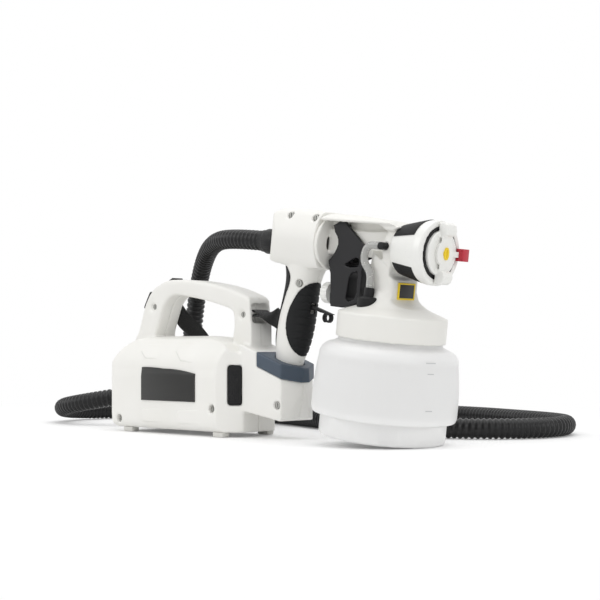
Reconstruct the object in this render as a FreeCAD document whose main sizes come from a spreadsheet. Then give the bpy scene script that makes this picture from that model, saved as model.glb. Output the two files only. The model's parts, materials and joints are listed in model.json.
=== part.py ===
import FreeCAD, Part
import math
import os
import Sketcher

# Paint sprayer with a turbine base, an air hose and a cup gun that stands docked in the base.
# Millimetres. +X is the spray direction, +Y is left, +Z is up, and z = 0 is the floor.
# Base pieces are drawn in the base frame: x = 0 midway between the feet, y = 0 the shell seam.
# Gun pieces are drawn in the gun frame: the origin is the middle of the cup's bottom, +Z runs
# up the cup and +X along the nozzle. The docked gun leans forward on the cup's front edge.

SIZES = {
    # where the base and the docked gun stand
    "base_place": -113.3,
    "dock_x": 247.8,
    "dock_z": 6.7,
    "gun_tilt": 7,
    "running_gap": 0.3,
    "seat_gap": 0.2,
    # base housing
    "wall": 2.6,
    "floor_gap": 5,
    "base_rear": -102,
    "base_corner": 70,
    "base_front": 91,
    "base_half_width": 40,
    "nose_half_width": 22,
    "base_crest": 100,
    "handle_thickness": 29,
    "handle_top": 158.6,
    "foot_x": 69,
    "foot_y": 31,
    "foot_length": 14,
    "foot_width": 9,
    # holster and its collar
    "holster_half_width": 22.5,
    "holster_nose": 153,
    "holster_corner": 142.5,
    "collar_back": 110,
    "collar_lean": 19.5,
    "collar_height": 13.6,
    "collar_back_z": 76.4,
    "collar_lip": 0.8,
    "socket_gap": 0.7,
    # motor and fan
    "motor_z": 49,
    "shaft_radius": 3,
    "shaft_gap": 0.05,
    "stator_radius": 25,
    "armature_radius": 15,
    "armature_length": 30,
    "air_gap": 0.6,
    "stator_length": 34,
    "bearing_radius": 8,
    "bearing_width": 6,
    "fan_radius": 30,
    "fan_width": 11,
    "fan_x": 44,
    "blade_count": 9,
    # cup
    "cup_foot": 57.5,
    "cup_radius": 66,
    "cup_step": 23,
    "cup_shoulder": 71,
    "cup_shoulder_radius": 63,
    "cup_neck": 47,
    "cup_neck_z": 87,
    "cup_top": 106.4,
    "cup_wall": 2,
    # lid and column of the spray head
    "lid_radius": 49.6,
    "lid_low": 89,
    # these two are rises: the ceiling over the cup's rim, and the lid's rim over its ceiling
    "lid_ceiling": 1.6,
    "lid_high": 2.5,
    "nozzle_z": 170,
    "tube_radius": 5,
    "column_half_width": 19,
    "roof_half_width": 21,
    "roof_z": 198,
    "roof_thickness": 3,
    "flange_radius": 25,
    "flange_x": -81.7,
    "flange_thickness": 4,
    "duct_radius": 13,
    "valve_half_width": 7.5,
    "block_radius": 20.5,
    "spigot_radius": 17,
    # trigger and needle
    "trigger_half_width": 12,
    "trigger_arm": 3.6,
    "arm_skin": 0.8,
    "knob_radius": 10,
    "knob_z": 124,
    "pivot_x": -59,
    "pivot_z": 187,
    "pivot_radius": 2,
    "needle_radius": 1.5,
    "draw_x": -58,
    # nozzle stack
    "nut_rear": 7,
    "nut_front": 46,
    "nut_radius": 28.6,
    "nut_rear_radius": 21.8,
    "nut_opening": 23.2,
    "cap_radius": 19.8,
    "cap_face": 49,
    "horn_reach": 27,
    # handle
    "handle_front": -82,
    "handle_rear": -152,
    "handle_half_width": 25,
    "handle_high": 200.5,
    "handle_low": 146.5,
    "grip_x": -121.7,
    "grip_z": 57.7,
    "grip_lean": 6.8,
    "grip_bottom": 22,
    "pad_thickness": 1.3,
    # air hose
    "hose_radius": 10,
    "hose_root_radius": 8.6,
    "hose_bore_radius": 7.4,
    "cuff_radius": 12.3,
    "cuff_length": 19,
    "port_x": -20,
    "port_z": 46,
    # strap
    "strap_width": 20,
    "strap_thickness": 1.4,
    "bar_x": 90.6,
    "bar_z": 121.8,
    "bar_radius": 1.6,
    # small screws
    "screw_head": 3.2,
    "screw_recess": 4.2,
}

doc = FreeCAD.newDocument("paint_sprayer")
sheet = doc.addObject("Spreadsheet::Sheet", "Sizes")


class Size:
    """A number that also keeps the sheet expression it comes from."""

    def __init__(self, value, text):
        self.value = float(value)
        self.text = text

    def join(self, other, sign, swap=False):
        other = as_size(other)
        left, right = (other, self) if swap else (self, other)
        value = {"+": left.value + right.value, "-": left.value - right.value,
                 "*": left.value * right.value}[sign]
        return Size(value, f"({left.text} {sign} {right.text})")

    def __add__(self, other):
        return self.join(other, "+")

    def __radd__(self, other):
        return self.join(other, "+", swap=True)

    def __sub__(self, other):
        return self.join(other, "-")

    def __rsub__(self, other):
        return self.join(other, "-", swap=True)

    def __mul__(self, other):
        return self.join(other, "*")

    def __rmul__(self, other):
        return self.join(other, "*", swap=True)

    def __neg__(self):
        return self.join(-1, "*")


def as_size(number):
    return number if isinstance(number, Size) else Size(number, repr(float(number)))


def number(size):
    return size.value if isinstance(size, Size) else float(size)


class Named:
    pass


def fill_sheet():
    named = Named()
    for row, (name, value) in enumerate(SIZES.items(), start=1):
        sheet.set(f"A{row}", name)
        sheet.set(f"B{row}", str(value))
        sheet.setAlias(f"B{row}", name)
        setattr(named, name, Size(value, f"Sizes.{name}"))
    doc.recompute()
    return named


S = fill_sheet()
NODES = {}
V = FreeCAD.Vector
X_AXIS, Y_AXIS, Z_AXIS = V(1, 0, 0), V(0, 1, 0), V(0, 0, 1)


def bind(item, path, size):
    """Give one property the value and the sheet expression of a size."""
    size = as_size(size)
    if "." not in path and not path.startswith("Constraints"):
        setattr(item, path, size.value)
    item.setExpression(path, size.text)


def finish(label, item, frame):
    """Name a finished piece and set it where its frame stands."""
    item.Label = label
    if frame == "gun":
        item.Placement = FreeCAD.Placement(V(0, 0, 0), FreeCAD.Rotation(Y_AXIS, S.gun_tilt.value))
        item.setExpression("Placement.Rotation.Angle", S.gun_tilt.text)
        item.setExpression("Placement.Base.x", (S.base_place + S.dock_x).text)
        item.setExpression("Placement.Base.z", S.dock_z.text)
    if frame == "base":
        item.setExpression("Placement.Base.x", S.base_place.text)
    NODES[label] = item
    return item


# Sketches and the features made from them

def new_body(name):
    return doc.addObject("PartDesign::Body", name)


def origin_plane(body, role):
    return next(plane for plane in body.Origin.OriginFeatures if plane.Role == role)


def new_sketch(body, plane, lift=0, up=0, along=0):
    sketch = body.newObject("Sketcher::SketchObject", body.Name + "_sketch")
    sketch.AttachmentSupport = (origin_plane(body, plane + "_Plane"), "")
    sketch.MapMode = "FlatFace"
    for path, size in (("x", along), ("y", up), ("z", lift)):
        sketch.setExpression(".AttachmentOffset.Base." + path, as_size(size).text)
    return sketch


def arc_between(start, end, radius):
    """Arc under a half circle. A positive radius bends to the left of the way from start to end."""
    chord = end - start
    half = chord.Length / 2
    if abs(radius) < half:
        raise ValueError(f"arc of {radius} is too small from {start} to {end}")
    side = math.copysign(1, radius)
    normal = V(-chord.y, chord.x, 0).normalize()
    rise = math.sqrt(max(radius * radius - half * half, 0))
    centre = (start + end) * 0.5 - normal * (-side * rise)
    first, last = (start, end) if side > 0 else (end, start)
    a0 = math.atan2(first.y - centre.y, first.x - centre.x)
    a1 = math.atan2(last.y - centre.y, last.x - centre.x)
    circle = Part.Circle(centre, Z_AXIS, abs(radius))
    return Part.ArcOfCircle(circle, a0, a1 if a1 > a0 else a1 + 2 * math.pi)


def add_outline(sketch, points):
    """Closed outline. A point (x, y, r) is reached by an arc of radius r, others by a line.

    A positive r turns left on the way to the point. Every corner is tied to the sheet.
    """
    first_id = sketch.GeometryCount
    count = len(points)
    places = [V(number(p[0]), number(p[1]), 0) for p in points]
    swapped = []
    for i in range(count):
        j = (i + 1) % count
        if len(points[j]) == 3:
            radius = number(points[j][2])
            sketch.addGeometry(arc_between(places[i], places[j], radius), False)
            swapped.append(radius < 0)
        else:
            sketch.addGeometry(Part.LineSegment(places[i], places[j]), False)
            swapped.append(False)
    for i in range(count):
        j = (i + 1) % count
        end = 1 if swapped[i] else 2
        start = 2 if swapped[j] else 1
        sketch.addConstraint(Sketcher.Constraint("Coincident", first_id + i, end, first_id + j, start))
    for i, point in enumerate(points):
        start = 2 if swapped[i] else 1
        for kind, size in (("DistanceX", point[0]), ("DistanceY", point[1])):
            rule = Sketcher.Constraint(kind, -1, 1, first_id + i, start, number(size))
            tie(sketch, sketch.addConstraint(rule), size)
        if len(point) == 3:
            arc = first_id + (i - 1) % count
            sketch.addConstraint(Sketcher.Constraint("Radius", arc, abs(number(point[2]))))


def tie(sketch, index, size):
    if isinstance(size, Size):
        sketch.setExpression(f"Constraints[{index}]", size.text)


def add_circle(sketch, x, y, radius):
    index = sketch.addGeometry(Part.Circle(V(number(x), number(y), 0), Z_AXIS, number(radius)), False)
    for kind, size in (("DistanceX", x), ("DistanceY", y)):
        tie(sketch, sketch.addConstraint(Sketcher.Constraint(kind, -1, 1, index, 3, number(size))), size)
    tie(sketch, sketch.addConstraint(Sketcher.Constraint("Radius", index, number(radius))), radius)


def pad(body, sketch, length, symmetric=True, reverse=False):
    feature = body.newObject("PartDesign::Pad", body.Name + "_pad")
    feature.Profile = sketch
    feature.SideType = "Symmetric" if symmetric else "One side"
    feature.Reversed = reverse
    bind(feature, "Length", length)
    sketch.Visibility = False
    return feature


def pocket(body, sketch, length, symmetric=True, reverse=False):
    feature = body.newObject("PartDesign::Pocket", body.Name + "_pocket")
    feature.Profile = sketch
    feature.SideType = "Symmetric" if symmetric else "One side"
    feature.Reversed = reverse
    bind(feature, "Length", length)
    return feature


def prism(name, plane, points, length, symmetric=True, reverse=False, lift=0, up=0, along=0):
    """Body: one outline given a thickness."""
    body = new_body(name)
    sketch = new_sketch(body, plane, lift, up, along)
    add_outline(sketch, points)
    pad(body, sketch, length, symmetric, reverse)
    return body


def turned(name, points, axis="z", height=0, across=0):
    """Body of revolution. points are (radius, height) about z, or (place along x, radius) about x."""
    body = new_body(name)
    if axis == "z":
        sketch = new_sketch(body, "XZ", along=across)
    else:
        sketch = new_sketch(body, "XZ", up=height, lift=across)
    add_outline(sketch, points)
    feature = body.newObject("PartDesign::Revolution", name + "_turn")
    feature.Profile = sketch
    feature.ReferenceAxis = (sketch, ["V_Axis" if axis == "z" else "H_Axis"])
    feature.Angle = 360
    return body


def round_edges(body, wanted, radius):
    """Fillet the edges of a body's last feature that a test picks."""
    doc.recompute()
    last = body.Tip
    names = [f"Edge{i}" for i, edge in enumerate(last.Shape.Edges, start=1) if wanted(edge)]
    fillet = body.newObject("PartDesign::Fillet", body.Name + "_round")
    fillet.Base = (last, names)
    bind(fillet, "Radius", radius)
    return fillet


# Plain solids and booleans

TURNS = {"z": FreeCAD.Rotation(), "x": FreeCAD.Rotation(Y_AXIS, 90), "y": FreeCAD.Rotation(X_AXIS, -90)}


def set_place(item, place, axis="z"):
    item.Placement = FreeCAD.Placement(V(*[number(p) for p in place]), TURNS[axis])
    for path, size in zip("xyz", place):
        if isinstance(size, Size):
            item.setExpression("Placement.Base." + path, size.text)


def rod(name, radius, length, place, axis="z"):
    item = doc.addObject("Part::Cylinder", name)
    bind(item, "Radius", radius)
    bind(item, "Height", length)
    set_place(item, place, axis)
    return item


def cone(name, low_radius, high_radius, length, place, axis="z"):
    item = doc.addObject("Part::Cone", name)
    bind(item, "Radius1", low_radius)
    bind(item, "Radius2", high_radius)
    bind(item, "Height", length)
    set_place(item, place, axis)
    return item


def block(name, sides, place):
    """Box with its low corner at place."""
    item = doc.addObject("Part::Box", name)
    for prop, size in zip(("Length", "Width", "Height"), sides):
        bind(item, prop, size)
    set_place(item, place)
    return item


def joined(name, *items):
    item = doc.addObject("Part::MultiFuse", name)
    item.Shapes = list(items)
    return item


def shared(name, *items):
    item = doc.addObject("Part::MultiCommon", name)
    item.Shapes = list(items)
    return item


def without(name, base, *tools):
    item = doc.addObject("Part::Cut", name)
    item.Base = base
    item.Tool = tools[0] if len(tools) == 1 else joined(name + "_tools", *tools)
    return item


def formed(name, shape):
    item = doc.addObject("Part::Feature", name)
    item.Shape = shape
    return item


def group(name, shapes):
    return formed(name, Part.makeCompound(shapes))


# Base housing: two half shells with the handle and the holster

def base_block(name, inset):
    """The barrel-like base body, drawn in as deep as inset, from three outlines."""
    rear, front, half = S.base_rear + inset, S.base_front - inset, S.base_half_width - inset
    low, crest = S.floor_gap + inset, S.base_crest - inset
    side = prism(name + "_side", "XZ", [
        (rear + 13, low, 90), (front, low), (front, 80 - inset), (S.base_corner - inset, 92 - inset),
        (0, crest, 210), (-62, crest - 2, 330), (rear + 20, crest - 12, 48), (rear, 42, 70)],
        2 * half + 10)
    side_points = [
        (S.base_corner, -1 * half), (front, -1 * S.nose_half_width + inset),
        (front, S.nose_half_width - inset), (S.base_corner, half), (rear + 18, half),
        (rear, half - 17, 18), (rear, -1 * half + 17), (rear + 18, -1 * half, 18)]
    plan = prism(name + "_plan", "XY", side_points, 140, symmetric=False)
    section = prism(name + "_section", "YZ", [
        (-34 + inset, low, 11), (34 - inset, low), (half, low + 10, 11), (half - 1, 66, 190),
        (24 - inset, crest - 3, 44), (-24 + inset, crest - 3, 96), (-1 * half + 1, 66, 44),
        (-1 * half, low + 10, 190)], 240)
    return shared(name, side, plan, section)


HANDLE_OUTLINE = [(-88, 88), (-82, 98), (-77.5, 108, 30), (-69.4, 129), (-60, 144.4, -60),
                  (-45, 154.2, -26), (-25, 158.6, -40),
                  (26, 154.6, -330), (66, 146.4, -330), (91, 137.5, -330), (94.6, 106), (94.6, 60), (-60, 60)]
HAND_OPENING = [(-53.5, 84), (-50.4, 102), (-40, 126.5), (-20, 142.6, -24), (0, 140, -300), (60, 127.2, -400),
                (69, 119, -10), (69, 84)]


def base_handle():
    body = new_body("handle_bow")
    sketch = new_sketch(body, "XZ")
    add_outline(sketch, [(p[0], p[1] + S.handle_top - 158.6) + tuple(p[2:]) for p in HANDLE_OUTLINE])
    pad(body, sketch, S.handle_thickness)
    hole = new_sketch(body, "XZ")
    add_outline(hole, [(p[0], p[1] + S.handle_top - 158.6) + tuple(p[2:]) for p in HAND_OPENING])
    pocket(body, hole, S.handle_thickness + 2)
    return body


def holster_plan(name, inset, height):
    """Plan of the holster: straight sides and a blunt nose."""
    half = S.holster_half_width - inset
    return prism(name, "XY", [
        (S.base_front - 6, -1 * half), (S.holster_corner - inset, -1 * half), (S.holster_nose - inset, 0),
        (S.holster_corner - inset, half), (S.base_front - 6, half)], height, symmetric=False)


def collar_rise(x):
    """Height of the collar's underside at x in the base frame."""
    slope = math.tan(math.radians(SIZES["collar_lean"]))
    return S.collar_back_z - slope * (x - SIZES["base_front"])


def collar_height_upright():
    return SIZES["collar_height"] / math.cos(math.radians(SIZES["collar_lean"]))


def holster_block():
    side = prism("holster_side", "XZ", [
        (S.base_front - 6, 27), (139, 18), (146, 20, 8), (S.holster_nose, collar_rise(153)),
        (S.collar_back, collar_rise(SIZES["collar_back"])),
        (S.collar_back, collar_rise(SIZES["collar_back"]) + collar_height_upright() - 0.6),
        (S.base_front - 6, collar_rise(85) + collar_height_upright() - 0.6)], 60)
    return shared("holster_form", side, holster_plan("holster_plan", 0, 100))


def grip_sections(grow, low, high, draft=False):
    """The grip's oval sections in the gun frame; with draft none is slimmer than one below it."""
    lean = math.tan(math.radians(SIZES["grip_lean"]))
    wires = []
    for z, depth, width in GRIP_SECTIONS:
        if draft:
            depth = max(row[1] for row in GRIP_SECTIONS if row[0] <= z)
            width = max(row[2] for row in GRIP_SECTIONS if row[0] <= z)
        if low <= z <= high:
            x = SIZES["grip_x"] + (z - SIZES["grip_z"]) * lean
            oval = Part.Ellipse(V(x, 0, z), depth + grow, width + grow)
            quarters = [math.radians(45 + 90 * k) for k in range(5)]
            wires.append(Part.Wire([Part.ArcOfEllipse(oval, a, b).toShape()
                                    for a, b in zip(quarters, quarters[1:])]))
    return wires


GRIP_SECTIONS = [(20, 12, 11.2), (29.5, 12.5, 11.6), (39, 13, 12), (48, 13.8, 12.4), (57, 15, 13),
                 (66, 16.8, 14.1), (75, 18.2, 15), (84, 18.8, 15.5), (93, 18.7, 15.8), (102, 18.2, 15.9),
                 (111, 17.5, 15.8), (120, 16.9, 15.7), (129, 16.9, 15.7), (138, 18.6, 16), (149, 23, 16.8),
                 (160, 25, 17)]


def gun_placement():
    return FreeCAD.Placement(V(SIZES["dock_x"], 0, SIZES["dock_z"]),
                             FreeCAD.Rotation(Y_AXIS, SIZES["gun_tilt"]))


def socket_tool():
    """The docking socket: the grip with a running gap round it and a little room below it."""
    gap = SIZES["socket_gap"]
    sections = grip_sections(gap, 0, 200, draft=True)
    shape = Part.makeLoft(sections, True, False)
    low_face = Part.Face(sections[0])
    shape = shape.fuse(low_face.extrude(V(0, 0, -gap)))
    shape.Placement = gun_placement()
    item = formed("socket_hollow", shape)
    item.Visibility = False
    return item


# Screws: place along x, height, the side face's distance from the seam, depth of the recess
BASE_SCREWS = [(-53, 131, 14.5, 5), (81, 120.5, 14.5, 5), (-79, 14, 39.5, 6), (64, 28, 40, 6),
               (137, 33, 22.5, 4)]


def screw_seats():
    """Bosses, recesses and the screws themselves, all square to the seam."""
    bosses, recesses, screws = [], [], []
    for i, (x, z, face, deep) in enumerate(BASE_SCREWS):
        bosses.append(rod(f"base_boss_{i}", S.screw_recess + 2, 2 * face - 3, (x, 1.5 - face, z), "y"))
        recesses.append(rod(f"base_recess_{i}", S.screw_recess, deep + 5, (x, -face - 5, z), "y"))
        head = Part.makeCylinder(SIZES["screw_head"], 2.5, V(x, deep - face - 2.5, z), Y_AXIS)
        cross = Part.makeBox(1, 1.2, 4, V(x - 0.5, deep - face - 2.6, z - 2))
        screws.append(head.cut(cross))
    return bosses, recesses, screws


def base_shells():
    bosses, recesses, screws = screw_seats()
    outer = base_block("base_form", 0)
    inner = base_block("base_hollow", SIZES["wall"])
    hollow_body = without("base_walls", outer, inner)
    bow = base_handle()
    holster = holster_block()
    inner_holster = without("bow_outside", joined("bow_and_holster", bow, holster), inner)
    socket = socket_tool()
    seat_bosses = shared("bosses_inside", joined("bosses", *bosses), base_block("boss_limit", 0.5))
    whole = joined("base_whole", hollow_body, inner_holster, seat_bosses)
    port = rod("port_hole", S.cuff_radius - 1.5, 20, (S.port_x, 30, S.port_z), "y")
    gland = rod("gland_hole", 4.8, 20, (-72, 30, 24), "y")
    windows = facet_item("vent_window", 14, 38.6, 12, 4, 31.7)
    louvres = [block(f"louvre_{i}", (3, 34, 12), (-62 + 9 * i, -17, 0)) for i in range(6)]
    switch_hole = switch_form("switch_pocket", 0.15, 30, -11)
    depth = S.bar_x - 4.1
    slots = [block("strap_recess", (12, S.strap_width + 2, 19), (depth, -0.5 * S.strap_width - 1, S.bar_z - 9.5)),
             rear_slot()]
    opened = without("base_opened", whole, socket, port, gland, windows, switch_hole, *recesses, *louvres,
                     *slots)
    bar = rod("strap_bar", S.bar_radius, S.strap_width + 4, (S.bar_x, -0.5 * S.strap_width - 2, S.bar_z), "y")
    opened = joined("base_with_bar", opened, bar)
    for side, low in (("right", -60), ("left", 0)):
        half_space = block(f"half_space_{side}", (420, 60, 220), (-160, low, -5))
        finish(f"base_shell_{side}", shared(f"base_shell_{side}", opened, half_space), "base")
    finish("base_screws", group("base_screws", screws), "base")


def rear_slot():
    """The slot in the rear leg that takes the strap's end."""
    item = block("slot_rear", (10, S.strap_thickness + 1.6, S.strap_width + 2), (0, 0, 0))
    turn = FreeCAD.Rotation(Y_AXIS, STRAP_LEAN)
    low = turn.multVec(V(-3, -13.4, -0.5 * SIZES["strap_width"] - 1))
    item.Placement = FreeCAD.Placement(V(*STRAP_SEAT) + low, turn)
    return item


# Where the strap crosses the rear leg's outer face, and how far that face leans
STRAP_SEAT = (-64.6, 0, 138)
STRAP_LEAN = 31.4

# The vent on the slanting front corner of the base

def facet_item(name, width, height, thick, out, low):
    """A plate square on the slanting face; out is how far its outer face stands proud of it."""
    item = doc.addObject("Part::Box", name)
    item.Length, item.Width, item.Height = width, thick, height
    middle = V((SIZES["base_corner"] + SIZES["base_front"]) / 2,
               -(SIZES["base_half_width"] + SIZES["nose_half_width"]) / 2, 0)
    along = V(SIZES["base_front"] - SIZES["base_corner"],
              SIZES["base_half_width"] - SIZES["nose_half_width"], 0).normalize()
    outward = V(along.y, -along.x, 0)
    corner = middle + along * (5.5 - width / 2) + outward * out
    item.Placement = FreeCAD.Placement(corner + Z_AXIS * low, FreeCAD.Rotation(X_AXIS, along))
    return item


def vent_pieces():
    """The pull-out filter cover with its thin rim, and the foam behind it."""
    plate = facet_item("cover_plate", 13.4, 38, 2.6, 0.6, 32)
    face = facet_item("cover_face", 10.6, 35.2, 5, 5, 33.4)
    finish("filter_cover", without("filter_cover", plate, face), "base")
    foam = facet_item("foam_block", 13.6, 38.2, 4, -2.3, 31.9)
    finish("filter_foam", compound("filter_foam", foam), "base")


# Collar ring of the holster

def collar():
    rise = S.collar_height * (1 / math.cos(math.radians(SIZES["collar_lean"])))
    back = S.collar_back + S.seat_gap * 0.5
    back_height = collar_rise(SIZES["collar_back"])
    front = S.holster_nose + S.collar_lip
    seat = S.seat_gap * 0.5
    side = prism("collar_side", "XZ", [
        (back, back_height + seat), (front, collar_rise(153.8) + seat),
        (front + 1.6, collar_rise(153.8) + rise - 1.4), (front + 0.4, collar_rise(153.8) + rise),
        (back, back_height + rise)], 60)
    half = S.holster_half_width + S.collar_lip
    plan = prism("collar_plan", "XY", [
        (S.base_front, -1 * half), (S.holster_corner + 0.8, -1 * half), (S.holster_nose + 3, -2),
        (S.holster_nose + 3, 2, 8), (S.holster_corner + 0.8, half), (S.base_front, half)], 140,
        symmetric=False)
    finish("holster_collar", without("holster_collar", shared("collar_form", side, plan), socket_tool()),
           "base")


# Switch at the rear end of the handle

def switch_form(name, grow, height, lift, length=22, width=14):
    """A block on the slanting top of the handle, centred under the switch."""
    item = doc.addObject("Part::Box", name)
    item.Length, item.Width, item.Height = length + 2 * grow, width + 2 * grow, height
    turn = FreeCAD.Rotation(Y_AXIS, SWITCH_LEAN)
    corner = turn.multVec(V(-length / 2 - grow, -width / 2 - grow, lift))
    item.Placement = FreeCAD.Placement(V(*SWITCH_PLACE) + corner, turn)
    return item


SWITCH_LEAN = -24
SWITCH_PLACE = (-40.5, 0, 155.4)


def switch():
    """Rocker switch: a rim set in the handle, and the key that tips in it on two stub axles."""
    rim = switch_form("bezel_rim", 0, 12, -10.8)
    hollow = switch_form("bezel_hollow", 0.2, 12, -8.5, 17, 10)
    turn = FreeCAD.Rotation(Y_AXIS, SWITCH_LEAN)
    seat = doc.addObject("Part::Cylinder", "axle_seat")
    seat.Radius, seat.Height = 1.55, 13
    low = turn.multVec(V(0, -6.5, -3))
    seat.Placement = FreeCAD.Placement(V(*SWITCH_PLACE) + low, turn.multiply(TURNS["y"]))
    finish("switch_bezel", without("switch_bezel", rim, hollow, seat), "base")
    body = prism("rocker_form", "XZ", [(-7, -4), (-3, -7), (3, -7), (7, -4), (7.6, 1.6), (-7.6, 4, -60)], 9.4)
    body.Placement = FreeCAD.Placement(V(*SWITCH_PLACE), turn)
    axle = doc.addObject("Part::Cylinder", "rocker_axle")
    axle.Radius, axle.Height = 1.5, 12.4
    low = turn.multVec(V(0, -6.2, -3))
    axle.Placement = FreeCAD.Placement(V(*SWITCH_PLACE) + low, turn.multiply(TURNS["y"]))
    finish("rocker_key", joined("rocker_key", body, axle), "base")


def compound(name, *items):
    """A piece that keeps other objects' placed shapes, so that they can be moved once more."""
    item = doc.addObject("Part::Compound", name)
    item.Links = list(items)
    return item


# Motor and fan, on one shaft along X

def ring_x(name, inner, outer, start, length, height=None):
    """Plain ring about the motor's axis."""
    height = S.motor_z if height is None else height
    end = start + length
    return turned(name, [(start, inner), (end, inner), (end, outer), (start, outer)], "x", height)


def motor():
    half = 0.5 * S.stator_length
    middle = -18
    bore = S.armature_radius + S.air_gap
    finish("motor_stator", ring_x("stator", bore, S.stator_radius, middle - half, S.stator_length), "base")
    brushes = [block(f"brush_{i}", (6, 16.7, 5), (-44, low, S.motor_z - 2.5))
               for i, low in enumerate((8.3, -25))]
    seat = S.bearing_radius
    for name, place in (("rear", middle - 34), ("front", middle + 28)):
        bracket = ring_x(f"bracket_{name}", seat, S.stator_radius, place, S.bearing_width)
        sleeve_start = place + 6 if name == "rear" else place - 11
        legs = ring_x(f"bracket_legs_{name}", S.stator_radius - 3, S.stator_radius, sleeve_start, 11)
        cap = ring_x(f"bracket_cap_{name}", S.shaft_radius + 1, seat + 2,
                     place - 2 if name == "rear" else place + 6, 2)
        whole = joined(f"bracket_form_{name}", bracket, legs, cap)
        if name == "rear":
            whole = without("bracket_slotted", whole, *brushes)
        finish(f"motor_bracket_{name}", compound(f"motor_bracket_{name}", whole), "base")
    rings = []
    for place in (middle - 34, middle + 28):
        outer = Part.makeCylinder(SIZES["bearing_radius"], SIZES["bearing_width"],
                                  V(place, 0, SIZES["motor_z"]), X_AXIS)
        inner = Part.makeCylinder(SIZES["shaft_radius"] + SIZES["shaft_gap"], SIZES["bearing_width"],
                                  V(place, 0, SIZES["motor_z"]), X_AXIS)
        rings.append(outer.cut(inner))
    finish("shaft_bearings", group("shaft_bearings", rings), "base")
    shaft = rod("shaft_rod", S.shaft_radius, 106, (-57, 0, S.motor_z), "x")
    finish("rotor_shaft", compound("rotor_shaft", shaft), "base")
    armature = ring_x("armature_stack", S.shaft_radius, S.armature_radius, -33, S.armature_length)
    commutator = ring_x("commutator", S.shaft_radius, 8, -45, 8.5)
    finish("rotor_armature", joined("rotor_armature", armature, commutator), "base")
    finish("motor_brushes", compound("motor_brushes", *brushes), "base")
    rubber = ring_x("rubber_ring", S.stator_radius, S.stator_radius + 6, -30, 8)
    shelf = prism("cradle_plate", "YZ", [(-29, 7.6), (29, 7.6), (29, 30), (-29, 30)], 8, symmetric=False,
                  lift=-30)
    hollow = rod("cradle_bore", S.stator_radius, 40, (-40, 0, S.motor_z), "x")
    finish("motor_cradle", without("motor_cradle", joined("cradle_form", rubber, shelf), hollow), "base")


def fan():
    """Fan wheel with swept blades between two discs, in its drum."""
    axis_z = SIZES["motor_z"]
    start = SIZES["fan_x"] - SIZES["fan_width"]
    back = Part.makeCylinder(SIZES["fan_radius"], 1.4, V(start, 0, axis_z), X_AXIS)
    hub = Part.makeCylinder(7, SIZES["fan_width"], V(start, 0, axis_z), X_AXIS)
    front = Part.makeCylinder(SIZES["fan_radius"], 1.2, V(SIZES["fan_x"] - 1.2, 0, axis_z), X_AXIS)
    front = front.cut(Part.makeCylinder(13, 3, V(SIZES["fan_x"] - 2, 0, axis_z), X_AXIS))
    wheel = back.fuse([hub, front])
    count = int(SIZES["blade_count"])
    outer_curve = Part.Arc(V(0, 9, 0), V(0, 20, 4.5), V(0, SIZES["fan_radius"] - 0.5, 15)).toShape()
    inner_curve = Part.Arc(V(0, SIZES["fan_radius"] - 0.5, 13.4), V(0, 20, 3.1), V(0, 9, -1.3)).toShape()
    ends = [Part.makeLine(V(0, SIZES["fan_radius"] - 0.5, 15), V(0, SIZES["fan_radius"] - 0.5, 13.4)),
            Part.makeLine(V(0, 9, -1.3), V(0, 9, 0))]
    face = Part.Face(Part.Wire([outer_curve, ends[0], inner_curve, ends[1]]))
    blade = face.extrude(V(SIZES["fan_width"] - 0.4, 0, 0))
    rim = Part.makeCylinder(SIZES["fan_radius"], SIZES["fan_width"] - 0.4, V(0, 0, 0), X_AXIS)
    blade = blade.common(rim)
    blades = []
    for i in range(count):
        turned_blade = blade.copy()
        turned_blade.rotate(V(0, 0, 0), X_AXIS, 360 * i / count)
        turned_blade.translate(V(start + 0.2, 0, axis_z))
        blades.append(turned_blade)
    wheel = wheel.fuse(blades)
    wheel = wheel.cut(Part.makeCylinder(SIZES["shaft_radius"], 40, V(start - 5, 0, axis_z), X_AXIS))
    finish("fan_wheel", formed("fan_wheel", wheel), "base")
    outer = S.fan_radius + 3.2
    inner = S.fan_radius + 1.2
    drum = turned("drum", [
        (S.fan_x - S.fan_width - 4, 9), (S.fan_x - S.fan_width - 2, 9), (S.fan_x - S.fan_width - 2, inner),
        (S.fan_x + 2, inner), (S.fan_x + 2, 12), (S.fan_x + 4, 12), (S.fan_x + 4, outer),
        (S.fan_x - S.fan_width - 4, outer)], "x", S.motor_z)
    outlet = rod("drum_outlet", 6, 14, (S.fan_x - 6, 26, S.motor_z), "y")
    shelf = prism("drum_foot", "YZ", [(-20, 7.6), (20, 7.6), (20, 22), (-20, 22)], 6, symmetric=False,
                  lift=S.fan_x - 9)
    inside = rod("drum_inside", inner, 20, (S.fan_x - 14, 0, S.motor_z), "x")
    foot = without("drum_foot_cut", shelf, inside)
    finish("fan_drum", without("fan_drum", joined("drum_and_foot", drum, foot), outlet), "base")


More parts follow.
